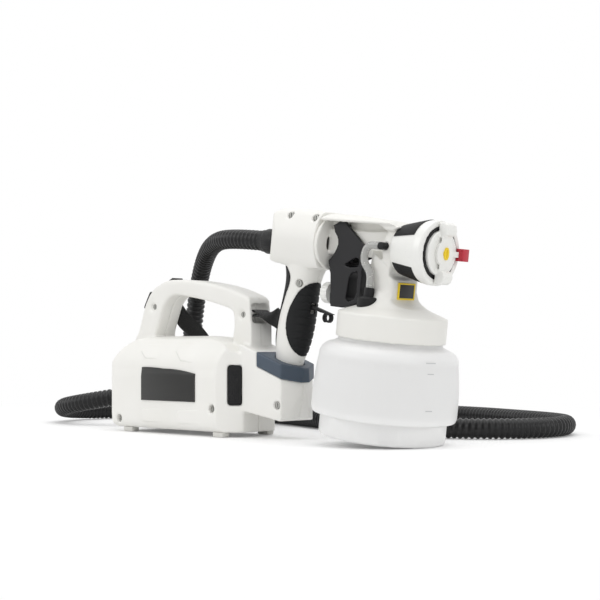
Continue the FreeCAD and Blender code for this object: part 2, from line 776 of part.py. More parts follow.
def fittings():
    """Feet, bare name plate, hose port, cord gland."""
    feet = []
    for x in (-SIZES["foot_x"], SIZES["foot_x"]):
        for y in (-SIZES["foot_y"], SIZES["foot_y"]):
            length, width = SIZES["foot_length"], SIZES["foot_width"]
            foot = Part.makeBox(length, width, SIZES["floor_gap"], V(x - length / 2, y - width / 2, 0))
            feet.append(foot.makeChamfer(0.8, [e for e in foot.Edges if max(v.Z for v in e.Vertexes) < 0.01]))
    finish("base_feet", group("base_feet", feet), "base")
    blank = prism("plate_blank", "XZ", [(-41, 34), (41, 34), (41, 62), (-8, 66.8, 260), (-41, 68, 260)], 8,
                  symmetric=False, lift=S.base_half_width - 3)
    skin = shared("plate_proud", blank, base_block("plate_skin", -1.2))
    finish("name_plate", without("name_plate", skin, base_block("plate_bed", 0)), "base")
    ring = turned("port_ring", [(S.cuff_radius - 4, 34), (S.cuff_radius - 1.5, 34),
                                (S.cuff_radius - 1.5, 40), (S.cuff_radius + 1.5, 40),
                                (S.cuff_radius + 1.5, 44), (S.cuff_radius - 4, 44)])
    ring.Placement = FreeCAD.Placement(V(SIZES["port_x"], 0, SIZES["port_z"]), FreeCAD.Rotation(X_AXIS, -90))
    finish("hose_port", compound("hose_port", ring), "base")
    gland = turned("gland_ring", [(3.4, 35), (4.8, 35), (4.8, 40), (7, 40), (5.4, 50), (3.4, 50)])
    gland.Placement = FreeCAD.Placement(V(-72, 0, 24), FreeCAD.Rotation(X_AXIS, -90))
    finish("cord_gland", compound("cord_gland", gland), "base")


# Cup

def cup():
    wall = S.cup_wall
    body = turned("cup_wall_form", [
        (0, 0), (S.cup_foot - 3, 0), (S.cup_foot, 3, 3), (S.cup_foot + 6.5, S.cup_step - 4),
        (S.cup_radius, S.cup_step + 4, 14), (S.cup_radius, S.cup_step + 12),
        (S.cup_shoulder_radius, S.cup_shoulder, 260), (S.cup_shoulder_radius - 11, S.cup_shoulder + 13, 12.5),
        (S.cup_neck + 2, S.cup_neck_z - 1.5), (S.cup_neck, S.cup_neck_z + 1, -3), (S.cup_neck, S.cup_top),
        (S.cup_neck - wall, S.cup_top), (S.cup_neck - wall, S.cup_neck_z),
        (S.cup_shoulder_radius - 12, S.cup_shoulder + 11), (S.cup_shoulder_radius - wall, S.cup_shoulder, -11),
        (S.cup_radius - wall, S.cup_step + 12, -260), (S.cup_radius - wall, S.cup_step + 4.5),
        (S.cup_foot - 3, S.cup_step - 3), (S.cup_foot - 5, 4), (S.cup_foot - 8, wall, -4), (0, wall)])
    corner, bulge = S.cup_foot + 6, 88
    flats = new_sketch(body, "XY")
    add_outline(flats, [(corner, 0, bulge), (0, corner, bulge), (-1 * corner, 0, bulge),
                        (0, -1 * corner, bulge)])
    add_circle(flats, 0, 0, S.cup_radius + 6)
    pocket(body, flats, S.cup_step - 3, symmetric=False, reverse=True)
    finish("cup", body, "gun")


def cup_seal():
    ring = turned("seal_ring", [(S.cup_neck - 5, S.cup_top), (S.cup_neck, S.cup_top),
                                (S.cup_neck, lid_ceiling_z() - 0.05), (S.cup_neck - 5, lid_ceiling_z() - 0.05)])
    finish("cup_seal", ring, "gun")


# Spray head

def lid_ceiling_z():
    return S.cup_top + S.lid_ceiling


def spray_head():
    gap = S.running_gap
    ceiling = lid_ceiling_z()
    high = ceiling + S.lid_high
    lid_form = turned("lid_form", [
        (0, ceiling), (S.cup_neck + gap, ceiling), (S.cup_neck + gap, S.lid_low),
        (S.lid_radius, S.lid_low), (S.lid_radius, high), (S.lid_radius - 1.5, high + 1.5, 1.5),
        (33, high + 7), (25, high + 13, -22), (21, high + 21.5, -26), (0, high + 21.5)])
    lid = shared("lid", lid_form, prism("lid_limit", "XZ", [
        (-60, S.lid_low - 9), (60, S.lid_low - 9), (60, high + 1.5), (33, high + 7.1), (21, high + 9.5),
        (15.5, high + 12.1), (12, high + 15.1), (12, high + 29.5), (-60, high + 29.5)], 130))
    side = prism("column_side", "XZ", [
        (-20, high + 1.5), (20, high + 1.5), (12, high + 12.5), (12, 143), (6.6, 146.6), (6.6, 152),
        (-17, 168), (-18, 150), (-12, high + 21.5)], 2 * S.column_half_width)
    round_edges(side, lambda edge: upright_edge(edge), 5)
    front = turned("front_block", [(-4, 0), (-4, S.block_radius - 3), (-1, S.block_radius, -3.2),
                                   (6.6, S.block_radius), (6.6, S.spigot_radius),
                                   (33, S.spigot_radius), (33, 0)], "x", S.nozzle_z)
    riser = block("block_skirt", (10.2, 2 * S.column_half_width - 2, 30), (-3.6, 1 - S.column_half_width, 140))
    half = S.roof_half_width
    arch = prism("roof_arch", "YZ", [
        (-1 * half, S.roof_z - 5.5, 43), (-1 * half + 2, S.roof_z - 7.5), (half - 2, S.roof_z - 7.5, -46),
        (half, S.roof_z - 5.5)], 88, symmetric=False, lift=-80)
    trim = prism("roof_trim", "XZ", [(-80, 180), (10, 180), (14, 184), (10, 190), (0, 194), (-20, 196),
                                     (-80, 200)], 60)
    roof = shared("roof", arch, trim)
    brow = prism("roof_brow", "XZ", [(-16, 194.2), (-3, 186), (6, 186), (12, 189.5), (0, 193)],
                 2 * S.roof_half_width - 6)
    flange = turned("flange_disc", [
        (S.flange_x - 8, S.duct_radius - 2), (S.flange_x + S.flange_thickness, S.duct_radius - 2),
        (S.flange_x + S.flange_thickness, S.flange_radius), (S.flange_x, S.flange_radius),
        (S.flange_x, S.duct_radius), (S.flange_x - 8, S.duct_radius)], "x", S.nozzle_z)
    valve = prism("valve_blade", "XZ", [
        (S.flange_x + 2, 160.5), (-16, 160.5), (-2, 156), (-2, 186), (-30, 184), (S.flange_x + 2, 184)],
        2 * S.valve_half_width)
    web = prism("valve_web", "XZ", [(S.flange_x + 2, 180), (-1, 180), (-1, 191), (-20, 193.5),
                                    (S.flange_x + 2, 196.6)], 6)
    bore = rod("needle_bore", S.needle_radius + 0.08, 120, (-80, 0, S.nozzle_z), "x")
    slot = block("draw_slot", (7, 40, 3.4), (-62, -20, S.nozzle_z - 1.7))
    spring_room = rod("spring_room", 4, 16, (-78, 0, S.nozzle_z), "x")
    feed = rod("feed_bore", 3.4, S.nozzle_z - ceiling + 4, (0, 0, ceiling - 4), "z")
    tube_seat = rod("tube_seat", S.tube_radius, 14, (0, 0, ceiling - 8), "z")
    passage = rod("fluid_passage", 3.4, 29, (-1, 0, S.nozzle_z), "x")
    front_room = rod("nozzle_room", 5.8, 8, (27, 0, S.nozzle_z), "x")
    pivot_hole = rod("pivot_hole", S.pivot_radius, 2 * S.valve_half_width + 2,
                     (S.pivot_x, -1 * S.valve_half_width - 1, S.pivot_z), "y")
    elbow_seat = rod("elbow_seat", 3.2, 12, (1, -27.5, 172), "y")
    nut_room = turned("nut_room", [
        (S.nut_rear - gap, S.spigot_radius), (14, S.spigot_radius), (14, S.nut_rear_radius + 1.7 + gap),
        (S.nut_rear - gap, S.nut_rear_radius + gap)], "x", S.nozzle_z)
    whole = joined("head_whole", lid, side, front, riser, roof, brow, flange, valve, web)
    head = without("spray_head", whole, bore, slot, spring_room, feed, tube_seat, passage, front_room,
                   pivot_hole, elbow_seat, nut_room)
    finish("spray_head", head, "gun")
    frame = without("plate_rim", block("rim_block", (1.6, 23, 15), (12, -11.5, 126)),
                    block("rim_hollow", (2, 20, 12), (12.6, -10, 127.5)))
    finish("plate_frame", compound("plate_frame", frame), "gun")
    finish("info_plate", compound("info_plate", block("info_blank", (0.8, 20, 12), (12.6, -10, 127.5))), "gun")
    vent_line(lid, side, front)


def upright_edge(edge):
    ends = [v.Point for v in edge.Vertexes]
    if len(ends) < 2:
        return False
    along = ends[1] - ends[0]
    return abs(abs(ends[0].y) - SIZES["column_half_width"]) < 0.01 and abs(along.y) < 0.01 and (
        abs(along.z) > 12 and abs(along.x) < 9)


def suction_tube():
    route = [V(0, 0, SIZES["cup_top"] + SIZES["lid_ceiling"] + 6), V(0, 0, 62), V(24, 0, 12)]
    outer, inner = bent_tube(route, SIZES["tube_radius"]), bent_tube(route, SIZES["tube_radius"] - 1.4)
    tube = outer.cut(inner)
    finish("suction_tube", formed("suction_tube", tube), "gun")


def bent_path(points, share=0.45):
    """Straight runs joined by tangent arcs; also gives the arcs' radii."""
    edges, radii = [], []
    last = points[0]
    for before, corner, after in zip(points, points[1:], points[2:]):
        one, two = corner - before, after - corner
        turn = one.getAngle(two)
        reach = share * min(one.Length, two.Length)
        into, out = V(one).normalize(), V(two).normalize()
        start, end = corner - into * reach, corner + out * reach
        radius = reach / math.tan(turn / 2)
        middle = corner + (out - into).normalize() * (radius / math.cos(turn / 2) - radius)
        edges.append(Part.makeLine(last, start))
        edges.append(Part.Arc(start, middle, end).toShape())
        radii.append(radius)
        last = end
    edges.append(Part.makeLine(last, points[-1]))
    return Part.Wire(edges), radii


def bent_tube(points, radius):
    path, _ = bent_path(points)
    ring = Part.Wire(Part.Circle(points[0], points[1] - points[0], radius).toShape())
    return path.makePipeShell([ring], True, False)


def vent_line(lid, column, block_form):
    """Clear vent hose from the head to the check valve on the lid."""
    y = -24
    route = [V(-2.7, y, 172), V(-17, y, 172), V(-20.5, y, 158), V(-10, y, 147),
             V(-10, y, SIZES["cup_top"] + SIZES["lid_ceiling"] + SIZES["lid_high"] + 23.8)]
    tube = bent_tube(route, 3.4).cut(bent_tube(route, 2.1))
    finish("vent_tube", formed("vent_tube", tube), "gun")
    elbow = rod("elbow_in", 3.2, 11, (1, -27.5, 172), "y")
    barb = rod("elbow_barb", 2, 9, (-7.5, -24, 172), "x")
    collar_ring = rod("elbow_ring", 3.4, 3.4, (-2.4, -24, 172), "x")
    finish("vent_elbow", joined("vent_elbow", elbow, barb, collar_ring), "gun")
    high = lid_ceiling_z() + S.lid_high
    cap = turned("valve_cap_form", [
        (0, high + 1.5), (10, high + 1.5), (10, high + 14.1), (8.5, high + 15.5), (4.6, high + 15.5),
        (4.4, high + 23.5), (2.1, high + 23.5), (2.1, high + 18.5), (0, high + 18.5)])
    cap.Placement = FreeCAD.Placement(V(-10, -24, 0), FreeCAD.Rotation())
    finish("valve_cap", without("valve_cap", cap, lid, column, block_form), "gun")


# Trigger, needle and volume knob

TRIGGER_OUTLINE = [(-62.5, 191.6), (-71, 187), (-68, 180), (-63, 171, -14), (-73, 155, -30), (-71, 148, 8),
                   (-67.5, 118, -160), (-66, 112.4), (-52, 112.4), (-33, 118), (-31, 126, 6),
                   (-32, 158, 200), (-28, 168), (-57.5, 191.6)]
FINGER_HOLE = [(-36, 147), (-41, 146), (-46, 139, 8), (-48, 121), (-44, 118.6), (-38, 121.5), (-35.5, 127)]
SMALL_HOLE = [(-54, 151.5), (-42, 158.5), (-35.6, 157.5, -6), (-35.8, 151.6), (-45, 150)]


def trigger():
    body = new_body("trigger_form")
    sketch = new_sketch(body, "XZ")
    add_outline(sketch, TRIGGER_OUTLINE)
    pad(body, sketch, 2 * S.trigger_half_width)
    holes = new_sketch(body, "XZ")
    add_outline(holes, FINGER_HOLE)
    add_outline(holes, SMALL_HOLE)
    pocket(body, holes, 2 * S.trigger_half_width + 2)
    slot = block("fork_slot", (90, 2 * (S.trigger_half_width - S.trigger_arm), 50),
                 (-100, S.trigger_arm - S.trigger_half_width, 154.5))
    reach = S.trigger_half_width - S.arm_skin
    draw = block("draw_hole", (3.6, 2 * reach, 5), (S.draw_x - 1.8, -1 * reach, S.nozzle_z - 2.5))
    pivot = rod("trigger_pivot_hole", S.pivot_radius + 0.06, 2 * reach, (S.pivot_x, -1 * reach, S.pivot_z), "y")
    knob_seat = rod("knob_seat", 3.86, 12, (-74, 0, S.knob_z), "x")
    finish("trigger", without("trigger", body, slot, draw, pivot, knob_seat), "gun")
    pin = rod("pin_rod", S.pivot_radius, 2 * reach - S.seat_gap,
              (S.pivot_x, S.seat_gap * 0.5 - reach, S.pivot_z), "y")
    finish("trigger_pin", compound("trigger_pin", pin), "gun")


def needle():
    rod_part = rod("needle_rod", S.needle_radius, 108, (-70, 0, S.nozzle_z), "x")
    tip = cone("needle_tip", S.needle_radius, 0.5, 5, (38, 0, S.nozzle_z), "x")
    half = S.trigger_half_width - S.arm_skin - S.seat_gap
    cross = rod("draw_pin", 1.5, 2 * half, (S.draw_x, -1 * half, S.nozzle_z), "y")
    washer = rod("needle_washer", 3.6, 1.5, (-66, 0, S.nozzle_z), "x")
    finish("needle", joined("needle", rod_part, tip, cross, washer), "gun")
    spring = ring_x("spring_sleeve", S.needle_radius + 0.4, 3.4, -78, 9.4, S.nozzle_z)
    finish("needle_spring", spring, "gun")
    nozzle = turned("fluid_nozzle", [
        (27, S.needle_radius + 0.6), (27, 5.8), (40, 5.8), (46, 2.6), (46, S.needle_radius + 0.6)],
        "x", S.nozzle_z)
    finish("fluid_nozzle", nozzle, "gun")


def volume_knob():
    rim = S.knob_radius
    wheel = turned("knob_wheel", [
        (-83.5, 0), (-83.5, rim - 2.5), (-81.5, rim, -2.6), (-74.5, rim), (-74.5, 3.8), (-66, 3.8), (-66, 0)],
        "x", S.knob_z)
    reach = SIZES["knob_radius"] + 0.5
    grooves = [rod(f"knob_groove_{i}", 1, 14, (-86, reach * math.cos(math.radians(30 * i)),
                                               SIZES["knob_z"] + reach * math.sin(math.radians(30 * i))), "x")
               for i in range(12)]
    finish("volume_knob", without("volume_knob", wheel, *grooves), "gun")


# Nozzle stack: nut, ring, air cap and jet lever

def nozzle_stack():
    gap = S.running_gap
    nut = turned("nut_form", [
        (S.nut_rear, S.spigot_radius + gap), (24, S.spigot_radius + gap), (26, 24.6), (43, 24.6),
        (43, S.nut_opening), (S.nut_front, S.nut_opening), (S.nut_front, S.nut_radius - 1.6),
        (S.nut_front - 1.6, S.nut_radius, 1.6), (S.nut_front - 8, S.nut_radius), (14, S.nut_rear_radius + 1.7),
        (S.nut_rear, S.nut_rear_radius)], "x", S.nozzle_z)
    finish("union_nut", nut, "gun")
    ring = turned("cap_ring_form", [
        (34, S.cap_radius + gap), (46.5, S.cap_radius + gap), (46.5, S.nut_opening - gap),
        (42.8, S.nut_opening - gap), (42.8, 24.3), (34, 24.3)], "x", S.nozzle_z)
    finish("cap_ring", ring, "gun")
    cap = turned("air_cap_form", [
        (36, 7.5), (45, 7.5), (47, 3.2), (52.6, 3.2), (52.6, 6.6), (S.cap_face, 6.6),
        (S.cap_face, S.cap_radius - 0.8), (S.cap_face - 0.8, S.cap_radius, 0.8), (36, S.cap_radius)],
        "x", S.nozzle_z)
    horns = []
    for name, side in (("top", 1), ("bottom", -1)):
        inner, outer = 11.5, S.horn_reach
        horns.append(prism(f"horn_{name}", "XZ", [
            (47.4, side * 13), (56.5, side * 16), (58, side * 20), (56.5, side * (outer - 2)),
            (53, side * outer), (47.4, side * outer)][::side], 13, up=S.nozzle_z))
    face = joined("cap_face_form", rod("face_disc", 11.6, 1.5, (S.cap_face + 2.1, 0, S.nozzle_z), "x"),
                  block("face_bar", (1.5, 13, 2 * S.horn_reach - 8),
                        (S.cap_face + 2.1, -6.5, S.nozzle_z + 4 - S.horn_reach)))
    face_plate = without("cap_face_plate", face, rod("face_bore", 4, 10, (S.cap_face, 0, S.nozzle_z), "x"))
    insert = without("insert_form", rod("insert_rod", 3.2, 4.6, (48.4, 0, S.nozzle_z), "x"),
                     block("insert_slot", (3, 1.2, 4), (51.5, -0.6, S.nozzle_z - 2)),
                     rod("insert_bore", 1.7, 3, (48, 0, S.nozzle_z), "x"))
    finish("air_cap", joined("air_cap", cap, face_plate, *horns), "gun")
    finish("cap_insert", insert, "gun")
    hub = ring_x("lever_hub", 6.66, 11, S.cap_face + 0.1, 1.7, S.nozzle_z)
    arm = block("lever_arm", (1.7, 14, 5), (S.cap_face + 0.1, 9, S.nozzle_z - 2.5))
    tab = block("lever_tab", (8, 8.8, 11), (47.4, 21, S.nozzle_z - 5.5))
    finish("jet_lever", joined("jet_lever", hub, arm, tab), "gun")


# Handle of the gun

def handle_form(inset):
    low, high = S.handle_low + inset, S.handle_high - inset
    front, rear = S.handle_front, S.handle_rear + inset
    side = prism(f"barrel_side_{inset}", "XZ", [
        (front, low), (front, high - 2), (-125, high + 0.8), (-140, high - 3, 22), (rear, 182, 40),
        (rear - 0.5, 160, 90), (-145, 150, 14), (-134, low + 0.5, 20), (-110, low - 4)], 80)
    half = S.handle_half_width - inset
    section = prism(f"barrel_section_{inset}", "YZ", [
        (-11, low - 4, 26), (11, low - 4), (half - 4, low + 9, 26), (half, 172, 46), (half - 6, high - 8, 40),
        (10, high - 0.8, 16), (-10, high - 0.8, 70), (-1 * half + 6, high - 8, 16), (-1 * half, 172, 40),
        (-1 * half + 4, low + 9, 46)], 90, symmetric=False, lift=-165)
    plan = prism(f"barrel_plan_{inset}", "XY", [
        (front, -1 * half - 1), (front, half + 1), (rear + 26, half + 1), (rear + 6, half - 10, 24),
        (rear - 0.5, 7, 24), (rear - 0.5, -7), (rear + 6, -1 * half + 10, 24), (rear + 26, -1 * half - 1, 24)],
        240, symmetric=False)
    return shared(f"barrel_{inset}", side, section, plan)


def grip_form(name, grow):
    item = formed(name, Part.makeLoft(grip_sections(grow, 0, 200), True, False))
    item.Visibility = False
    return item


LEAF_OUTLINE = [(-78, 136), (-81, 136), (-97, 131, 30), (-110, 114, 40), (-116, 98, 60), (-116.5, 86, 50),
                (-112, 71, 60), (-104, 58.5, 50), (-97, 55.6, 9), (-78, 58)]
BACK_OUTLINE = [(-142, 146), (-131, 147.6), (-120, 141, -24), (-116.5, 132, -10), (-121, 120, -26),
                (-131, 96, -200), (-138, 62, -260), (-160, 62), (-160, 130), (-146, 140)]


def handle():
    barrel = handle_form(0)
    grip = grip_form("grip_form", 0)
    whole = joined("handle_whole", barrel, grip)
    duct = rod("handle_duct", S.duct_radius + 0.35, 20, (S.handle_front - 19, 0, S.nozzle_z), "x")
    inlet = cone("handle_inlet", 7.4, S.duct_radius, 54, (S.handle_rear - 2, 0, 166.5), "x")
    recesses, heads = [], []
    for i, (x, z, face) in enumerate(((-121, 193.2, 18.5), (-88.5, 192.2, 18.5), (-106, 130, 15.4))):
        recesses.append(rod(f"gun_recess_{i}", S.screw_recess - 0.5, 12, (x, -face - 8, z), "y"))
        head = Part.makeCylinder(SIZES["screw_head"] - 0.1, 2.5, V(x, 1.5 - face, z), Y_AXIS)
        heads.append(head.cut(Part.makeBox(1, 1.2, 4, V(x - 0.5, 1.4 - face, z - 2))))
    hook_slot = block("hook_slot", (18, 5.6, 9.4), (-106, -2.8, 102.6))
    axle_seat = rod("hook_axle_seat", 1.55, 12.4, (HOOK_PIVOT[0], -6.2, HOOK_PIVOT[1]), "y")
    leaf = prism("leaf", "XZ", LEAF_OUTLINE, 60)
    back = prism("back_strip_zone", "XZ", BACK_OUTLINE, 60)
    shrunk = grip_form("grip_core", -SIZES["pad_thickness"])
    pad_zone = without("pad_zone", leaf, shrunk)
    hollowed = without("handle_open", whole, duct, inlet, hook_slot, axle_seat, *recesses)
    opened = without("handle_seated", hollowed, pad_zone)
    for side, low in (("right", -60), ("left", 0)):
        half_space = block(f"gun_half_{side}", (120, 60, 230), (-170, low, 0))
        finish(f"handle_shell_{side}", shared(f"handle_shell_{side}", opened, half_space), "gun")
    finish("handle_screws", group("handle_screws", heads), "gun")
    proud = grip_form("grip_proud", 0.7)
    pad_form = without("pad_form", shared("leaf_proud", leaf, proud), grip_form("pad_core", -1.28))
    ribs = []
    for i in range(9):
        height = 66 + 7.4 * i
        rib = block(f"pad_groove_{i}", (40, 60, 1.6), (0, -30, 0))
        edge = -97 + 6 * math.sin(math.radians(20 * i))
        rib.Placement = FreeCAD.Placement(V(edge, -30, height), FreeCAD.Rotation(Y_AXIS, -12))
        ribs.append(rib)
    bed = grip_form("groove_bed", -0.1)
    grooves = without("pad_grooves", joined("groove_cuts", *ribs), bed)
    hook_clear = block("hook_clear", (34, 6, 9.8), (-106, -3, 102.4))
    finish("grip_pad", without("grip_pad", pad_form, grooves, hook_clear, axle_seat), "gun")
    proud_back = shared("back_proud", back, grip_form("back_grip", 0.9))
    strip = without("back_strip", proud_back, grip_form("back_core", 0.02), barrel)
    finish("back_strip", strip, "gun")
    cuff = turned("cuff_form", [
        (S.handle_rear - S.cuff_length, S.hose_bore_radius), (S.handle_rear + 3, S.hose_bore_radius),
        (S.handle_rear + 3, S.cuff_radius), (S.handle_rear - 12, S.cuff_radius),
        (S.handle_rear - 15, S.cuff_radius - 1.6), (S.handle_rear - S.cuff_length, S.cuff_radius - 1.6)],
        "x", 166.5)
    finish("hose_cuff", without("hose_cuff", cuff, barrel), "gun")


HOOK_PIVOT = (-100.5, 108)


def hook():
    """Swing-out holder on the grip: a thin arm, an open ring below it and a pointed tip."""
    arm = prism("hook_arm", "XZ", [
        (-103, 106.8), (-100.5, 105.4, 4), (-96, 106.8), (-86, 104.6), (-72, 103.6), (-72, 104.2),
        (-86, 107.4), (-96, 109.6), (-100.5, 110.6), (-103, 109.4, 4)], 5)
    ring = rod("hook_ring", 5, 5, (-78, -2.5, 100.4), "y")
    eye = rod("hook_eye", 3.4, 8, (-78, -4, 100.4), "y")
    mouth = block("hook_mouth", (4, 8, 8), (-80, -4, 93))
    axle = rod("hook_axle", 1.5, 12, (HOOK_PIVOT[0], -6, HOOK_PIVOT[1]), "y")
    finish("hook", without("hook", joined("hook_form", arm, ring, axle), eye, mouth), "gun")


# Air hose and strap

def hose_points():
    """The hose's route, chosen by hand, from the gun's cuff round the back to the base's port."""
    place = gun_placement()
    place.Base = place.Base + V(SIZES["base_place"], 0, 0)
    start = place.multVec(V(SIZES["handle_rear"] - SIZES["cuff_length"], 0, 166.5))
    away = place.Rotation.multVec(V(-1, 0, 0))
    port = V(SIZES["base_place"] + SIZES["port_x"], 44 + SIZES["running_gap"], SIZES["port_z"])
    route = [start, start + away * 46]
    route += [V(*p) for p in HOSE_ROUTE]
    route += [port + V(0.6, 38, 0), port]
    return route


HOSE_ROUTE = [
    (-113, 22, 198), (-159, 50, 181), (-190, 68, 144), (-203, 74, 98), (-219, 60, 60), (-253, 32, 36),
    (-302, 3, 27), (-353, 5, 20), (-393, 38, 13.6), (-404, 88, 10.4), (-382, 137, 10.2),
    (-336, 170, 10.2), (-278, 186, 10.2), (-214, 184, 10.2), (-152, 168, 10.2), (-95, 148, 10.2),
    (-38, 126, 10.2), (20, 111, 10.2), (76, 101, 10.2), (130, 104, 10.2), (174, 133, 10.2),
    (196, 182, 10.2), (186, 234, 10.2), (146, 271, 10.2), (82, 298, 10.2), (14, 324, 10.2),
    (-46, 334, 10.2), (-100, 314, 10.2), (-134, 270, 14), (-142, 216, 28), (-137, 168, 42),
    (-133.3, 124, 46)]


def air_hose():
    points = hose_points()
    path, radii = bent_path(points)
    print("hose length", round(path.Length), "smallest radii", [round(r) for r in sorted(radii)[:6]])
    tube = bent_tube(points, SIZES["hose_radius"]).cut(bent_tube(points, SIZES["hose_bore_radius"]))
    print("hose volume share", round(tube.Volume / (math.pi * (SIZES["hose_radius"] ** 2
          - SIZES["hose_bore_radius"] ** 2) * path.Length), 3))
    finish("air_hose", formed("air_hose", tube), "world")


STRAP_ROUTE = [
    (-49.5, 17.3, 127, 0.52, 0, 0.85), (-44, 20, 118, 0.62, 0.1, 0.78), (-36, 28, 107, 0.75, 0.1, 0.65),
    (-28, 38, 93, 0.86, -0.1, 0.5), (-18, 45.4, 77, 0.88, -0.2, 0.42), (0, 47.4, 61, 0.6, -0.05, 0.8),
    (26, 47, 54, 0.1, 0, 1), (54, 46.6, 60, -0.4, 0, 0.92), (76, 43.5, 77, -0.6, 0.2, 0.74),
    (92, 34, 96, -0.5, 0.6, 0.62), (103, 18, 112, -0.3, 0.8, 0.52), (106.5, 5, 119, 0.2, 0.9, 0.4)]


def strap():
    """The carrying strap: tucked in the rear leg's slot, hanging behind the base, looped on the front bar."""
    turn = FreeCAD.Rotation(Y_AXIS, STRAP_LEAN)
    seat = V(*STRAP_SEAT)
    along_leg = turn.multVec(Z_AXIS)
    off, side = 0.5 * SIZES["strap_thickness"] + 0.9, 0.5 * SIZES["handle_thickness"] + 1.6
    rows = [(seat + turn.multVec(V(x, y, 0)), along_leg)
            for x, y in ((5, -11.9), (0.6 - off, -11.9), (-off, -11), (-off, side - 1.4), (1 - off, side), (9, side))]
    rows += [(V(x, y, z), V(a, b, c).normalize()) for x, y, z, a, b, c in STRAP_ROUTE]
    rows.append((V(SIZES["bar_x"] + 8, 0, SIZES["bar_z"]), Y_AXIS))
    wires = []
    for i, (point, across) in enumerate(rows):
        ahead = rows[min(i + 1, len(rows) - 1)][0] - rows[max(i - 1, 0)][0]
        out = ahead.cross(across).normalize() * (SIZES["strap_thickness"] / 2)
        half = across * (SIZES["strap_width"] / 2)
        corners = [point + half + out, point - half + out, point - half - out, point + half - out]
        wires.append(Part.makePolygon(corners + corners[:1]))
    band = formed("strap_band", Part.makeLoft(wires, True, True))
    grip, outer = S.bar_radius + 0.4, S.bar_radius + 0.4 + S.strap_thickness
    loop, eye = [
        joined(f"strap_{name}",
               rod(f"strap_{name}_round", radius, width, (S.bar_x, -0.5 * width, S.bar_z), "y"),
               prism(f"strap_{name}_wedge", "XZ", [
                   (S.bar_x + reach, S.bar_z + tip), (S.bar_x, S.bar_z + radius),
                   (S.bar_x, S.bar_z - radius), (S.bar_x + reach, S.bar_z - tip)], width))
        for name, radius, reach, tip, width in (
            ("loop", outer, 9, 1.4, S.strap_width), ("eye", grip, 5, 0.3, S.strap_width + 4))]
    finish("strap", joined("strap", without("strap_end", loop, eye), band), "base")


def build():
    base_shells()
    vent_pieces()
    collar()
    switch()
    motor()
    fan()
    fittings()
    strap()
    cup()
    cup_seal()
    spray_head()
    suction_tube()
    trigger()
    needle()
    volume_knob()
    nozzle_stack()
    handle()
    hook()
    air_hose()
    doc.recompute()


def check_and_write():
    faults = [item.Label for item in doc.Objects if "Invalid" in item.State or "Error" in item.State]
    faults += [label for label, item in NODES.items()
               if item.Shape.isNull() or not item.Shape.isValid() or not item.Shape.Solids]
    if faults:
        raise RuntimeError("these pieces failed: " + ", ".join(faults))
    os.makedirs("parts", exist_ok=True)
    for label, item in NODES.items():
        item.Shape.exportStep(f"parts/{label}.step")
        print(label, len(item.Shape.Solids), "solids", round(item.Shape.Volume), "mm3")


build()
check_and_write()
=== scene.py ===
# %% [markdown]
# # A turbine paint sprayer, dressed for its portrait
# The solids come from the workshop drawing and already fit together. Here they get their real
# finish, most of them get the soft edges that a mould leaves, and what only a modeller's eye adds is
# made by hand: the ribbed hose, the woven strap, the filter's net, the low panels on the base, the
# rubber patches on the nut and the marks on the cup.

# %% The tools of the lesson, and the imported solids
import json
import math

import bpy
from mathutils import Matrix, Vector


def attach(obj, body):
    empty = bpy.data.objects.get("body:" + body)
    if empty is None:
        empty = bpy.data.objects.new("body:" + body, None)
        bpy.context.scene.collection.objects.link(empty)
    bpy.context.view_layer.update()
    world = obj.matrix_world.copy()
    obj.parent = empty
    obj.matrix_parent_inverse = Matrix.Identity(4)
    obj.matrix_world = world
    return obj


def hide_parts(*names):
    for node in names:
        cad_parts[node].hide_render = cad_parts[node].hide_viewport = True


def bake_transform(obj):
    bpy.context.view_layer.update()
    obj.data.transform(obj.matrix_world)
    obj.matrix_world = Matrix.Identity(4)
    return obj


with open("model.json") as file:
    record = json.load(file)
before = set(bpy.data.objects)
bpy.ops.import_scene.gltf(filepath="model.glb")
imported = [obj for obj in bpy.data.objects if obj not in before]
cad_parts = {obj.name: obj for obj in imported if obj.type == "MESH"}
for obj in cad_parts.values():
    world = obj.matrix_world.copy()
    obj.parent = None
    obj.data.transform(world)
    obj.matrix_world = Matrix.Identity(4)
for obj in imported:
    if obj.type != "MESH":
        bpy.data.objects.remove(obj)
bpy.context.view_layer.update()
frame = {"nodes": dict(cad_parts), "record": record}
MM = 0.001

# %% [markdown]
# The photograph was taken with a level camera a little over a metre away. A level camera keeps
# upright edges upright, and the lens shift then moves the picture up without tilting anything.

# %% Camera
EYE = Vector((0.9006, -0.9141, 0.08724))
TURN = math.radians(43.5)
FOCAL_MM = 78.97
UPWARD_SHIFT = 0.0806
bpy.ops.object.camera_add(location=EYE, rotation=(math.pi / 2, 0, TURN))
camera = bpy.context.object
camera.name = "Camera"
camera.data.sensor_width = 36
camera.data.lens = FOCAL_MM
camera.data.shift_y = UPWARD_SHIFT
bpy.context.scene.camera = camera
print("camera at", tuple(camera.location))

# %% [markdown]
# Two places to draw in: the base's own frame, and the gun's, which leans forward by seven degrees
# because the docked gun stands on the front edge of its cup. A point measured on the gun is turned
# and moved by one matrix, so the numbers stay those of the upright gun.

# %% Frames of the base and the gun
BASE_X = -0.1133
DOCKED_AT = (0.1345, 0, 0.0067)
LEAN = math.radians(7)
GUN_PLACE = Matrix.Translation(DOCKED_AT) @ Matrix.Rotation(LEAN, 4, "Y")


def on_base(x, y, z):
    """A point in millimetres on the base, as a place in the scene."""
    return Vector((BASE_X + x * MM, y * MM, z * MM))


def on_gun(x, y, z):
    """A point in millimetres on the upright gun, as a place in the scene."""
    return GUN_PLACE @ Vector((x * MM, y * MM, z * MM))


print("middle of the cup's foot at", tuple(round(c, 4) for c in on_gun(0, 0, 0)))

# %% [markdown]
# Colours are written as hex values, as a paint chart gives them. The renderer works with light, so
# each value is turned from the screen's curve to plain amounts of light first.

